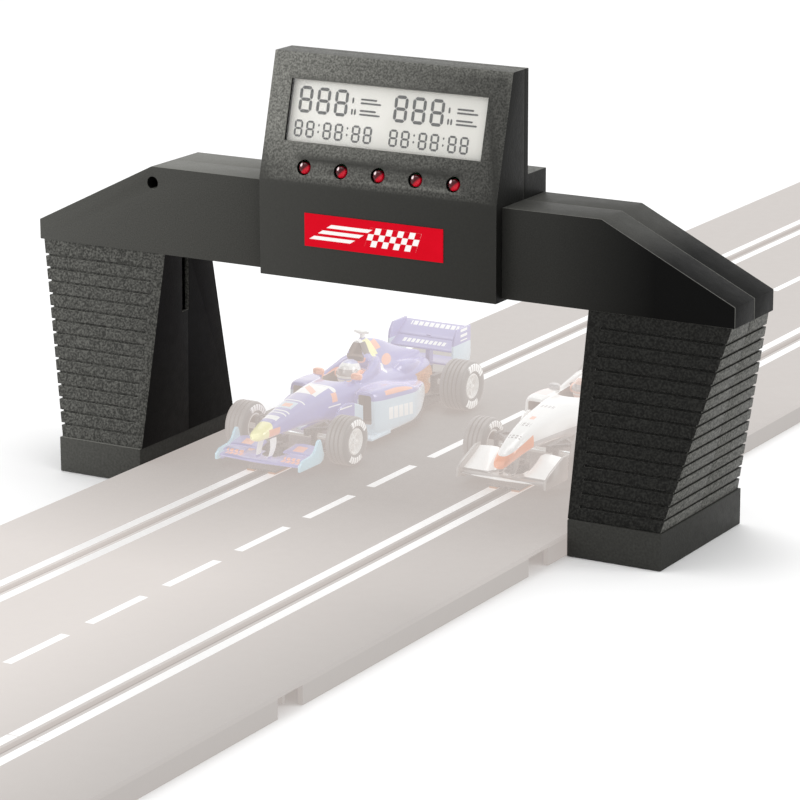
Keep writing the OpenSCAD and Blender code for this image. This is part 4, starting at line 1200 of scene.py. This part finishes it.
def build_car(car, livery, helmet, front_spots, rear_spots, wing_base, steep, droop=0.0):
    at = middle(car + "_front_axle") - Vector((0, 0, FRONT_R))
    nose_paint = wing_paint(car + "_nose_wing_paint", wing_base, front_spots)
    tail_paint = wing_paint(car + "_tail_wing_paint", wing_base, rear_spots)
    for name, form, node, material, smooth in (
            ("bodywork", body_form(droop), "body_shell", livery, 50),
            ("helmet", driver_form().fused(0.3, 3), "driver", helmet, 60),
            ("nose_wing", front_wing_form(steep), "front_wing", nose_paint, 40),
            ("tail_wing", rear_wing_form(), "rear_wing", tail_paint, 40)):
        form.piece(f"{car}_{name}", car + "_car", [f"{car}_{node}"], material, at, smooth)
    softened(car + "_chassis", chassis_plastic, 0.2)
    for end, r, grooves in (("front", FRONT_R, 3), ("rear", REAR_R, 4)):
        axle = f"{car}_{end}"
        low, high = box_mm(axle + "_tyres")
        left_low, left_high = islands(axle + "_tyres")[0]
        track = high.x - low.x
        width = left_high.x - left_low.x
        for name, form, material in (("tyre", tyre_form(r, track, width, grooves), tyre_paint[end]),
                                     ("rim", rim_form(track, width), rim_paint)):
            form.piece(f"{axle}_{name}_pair", axle + "_wheels", [f"{axle}_{name}s"], material,
                       middle(axle + "_axle"))


def rim_look():
    s = Shader("rim_paint", rgb(244, 243, 241), 0.3, metallic=0.1)
    radius = s.far(s.y, 0.0, s.z, 0.0)
    s.paint(s.mix(s.noise(2.0, 3.0), rgb(228, 226, 223), rgb(244, 243, 241)),
            (s.patch(s.below(radius, 4.8), x=(None, RIM_BACK)), DARK))
    s.gloss(1.0, 0.22, 0.4)
    return s.add_painted_glow()


chassis_plastic = moulded("chassis_plastic", rgb(188, 181, 177), 0.5, grain=0.5, depth=0.02, hazy=True)
tyre_paint = {"front": tyre_look("front_tyre_rubber", FRONT_R),
              "rear": tyre_look("rear_tyre_rubber", REAR_R)}
rim_paint = rim_look()


# ---- looks of the CAD nodes that stay

def dress_cad_nodes():
    clear = Shader("window_clear", (0.95, 0.96, 0.95), 0.04, alpha=0.08, specular_ior_level=0.6)
    clear.gloss(20.0, 0.02, 0.07)
    looks = {
        "track_plastic": track_look(),
        "clear_window": clear.material,
        "label_red": plate_look(),
        "display_plastic": moulded("cover_grain", GREY, 0.5, grain=0.8, depth=0.08),
    }
    for make, slot, color, roughness, settings in (
            (moulded, "rail_steel", rgb(252, 251, 250), 0.35,
             dict(grain=0.3, depth=0.003, speckle=0.04, hazy=True, metallic=0.2)),
            (moulded, "board_green", rgb(40, 110, 66), 0.4, dict(speckle=0.1)),
            (moulded, "sensor_dark", rgb(40, 16, 24), 0.15, dict(depth=0.005)),
            (moulded, "battery_wrap", rgb(196, 160, 96), 0.3, dict(depth=0.005)),
            (moulded, "button_grey", shade(GREY, 0.7), 0.6, {}),
            (moulded, "button_red", rgb(170, 30, 36), 0.5, {}),
            (moulded, "switch_black", rgb(30, 30, 30), 0.4, {}),
            (brushed, "screw_black", rgb(26, 26, 26), 0.3, dict(along=(1, 1, 1))),
            (moulded, "guide_black", rgb(186, 179, 175), 0.45, dict(depth=0.01, hazy=True)),
            (brushed, "braid_copper", rgb(216, 192, 178), 0.4, dict(along=(1, 3, 1), hazy=True)),
            (brushed, "axle_steel", rgb(235, 234, 232), 0.2, dict(along=(12, 1, 1), hazy=True)),
            (moulded, "gear_orange", rgb(240, 206, 186), 0.4, dict(depth=0.005, hazy=True)),
            (brushed, "motor_can", rgb(224, 223, 221), 0.3, dict(hazy=True)),
            (brushed, "pinion_brass", rgb(228, 214, 180), 0.25, dict(hazy=True)),
            (moulded, "magnet_dark", rgb(186, 180, 177), 0.5, dict(hazy=True))):
        looks[slot] = make(slot, color, roughness, **settings)
    for name, node in frame["nodes"].items():
        if not node.hide_render:
            node.data.materials.clear()
            node.data.materials.append(looks[SLOT_OF[name]])


# ---- stage (in metres)

CAMERA_AT = Vector((0.7031, -1.3514, 0.4166))
CAMERA_AIM = Vector((0.0241, -0.1541, 0.0458))
CAMERA_LENS = 159.2
CAMERA_SHIFT = (-0.0539, -0.0052)
LIGHT_AIM = Vector((0, -0.15, 0.08))
FLOOR_HALF = 12
FLOOR_Z = -0.0002        # just under the feet and the track, so that no two faces coincide


def area_light(name, at, size, power):
    data = bpy.data.lights.new(name, "AREA")
    data.shape = "RECTANGLE"
    data.size, data.size_y = size
    data.energy = power
    light = placed(name, data)
    light.location = at
    light.rotation_euler = (LIGHT_AIM - Vector(at)).to_track_quat("-Z", "Y").to_euler()


def build_stage():
    camera_data = bpy.data.cameras.new("camera")
    camera_data.lens = CAMERA_LENS
    camera_data.sensor_width = 36
    camera_data.shift_x, camera_data.shift_y = CAMERA_SHIFT
    camera_data.clip_start = 0.05
    camera = placed("camera", camera_data)
    camera.location = CAMERA_AT
    camera.rotation_euler = (CAMERA_AIM - CAMERA_AT).to_track_quat("-Z", "Y").to_euler()
    bpy.context.scene.camera = camera

    bm = bmesh.new()
    bmesh.ops.create_grid(bm, x_segments=2, y_segments=2, size=FLOOR_HALF)
    mesh = bpy.data.meshes.new("floor")
    bm.to_mesh(mesh)
    bm.free()
    paper = Shader("floor_paper", (0.9, 0.9, 0.9), 0.95, specular_ior_level=0.1)
    paper.paint(paper.mix(paper.noise(300.0), (0.89, 0.89, 0.89), (0.92, 0.92, 0.92)))
    mesh.materials.append(paper.material)
    floor = placed("floor", mesh)
    floor.location.z = FLOOR_Z

    world = bpy.data.worlds.new("studio")
    world.use_nodes = True
    background = world.node_tree.nodes["Background"].inputs
    background["Color"].default_value = (1, 1, 1, 1)
    background["Strength"].default_value = 1.0
    bpy.context.scene.world = world
    bpy.context.scene.view_settings.view_transform = "Standard"

    area_light("overhead", (-0.3, 0.1, 1.6), (0.9, 0.9), 6)
    area_light("front_left", (-0.75, -0.95, 0.5), (0.5, 0.4), 1.5)
    area_light("right_rear", (1.3, 0.3, 0.6), (0.5, 0.7), 5)


build_gantry()
build_readout()
build_start_lights()
build_car("blue", blue_livery(), helmet_look("blue_helmet_paint", WHITE, rgb(214, 212, 230)),
          blue_front_spots, blue_rear_spots, BLUE, steep=False)
build_car("silver", silver_livery(), helmet_look("silver_helmet_paint", rgb(244, 220, 210), WHITE),
          silver_front_spots, silver_rear_spots, WHITE, steep=True, droop=4.6)
dress_cad_nodes()
build_stage()
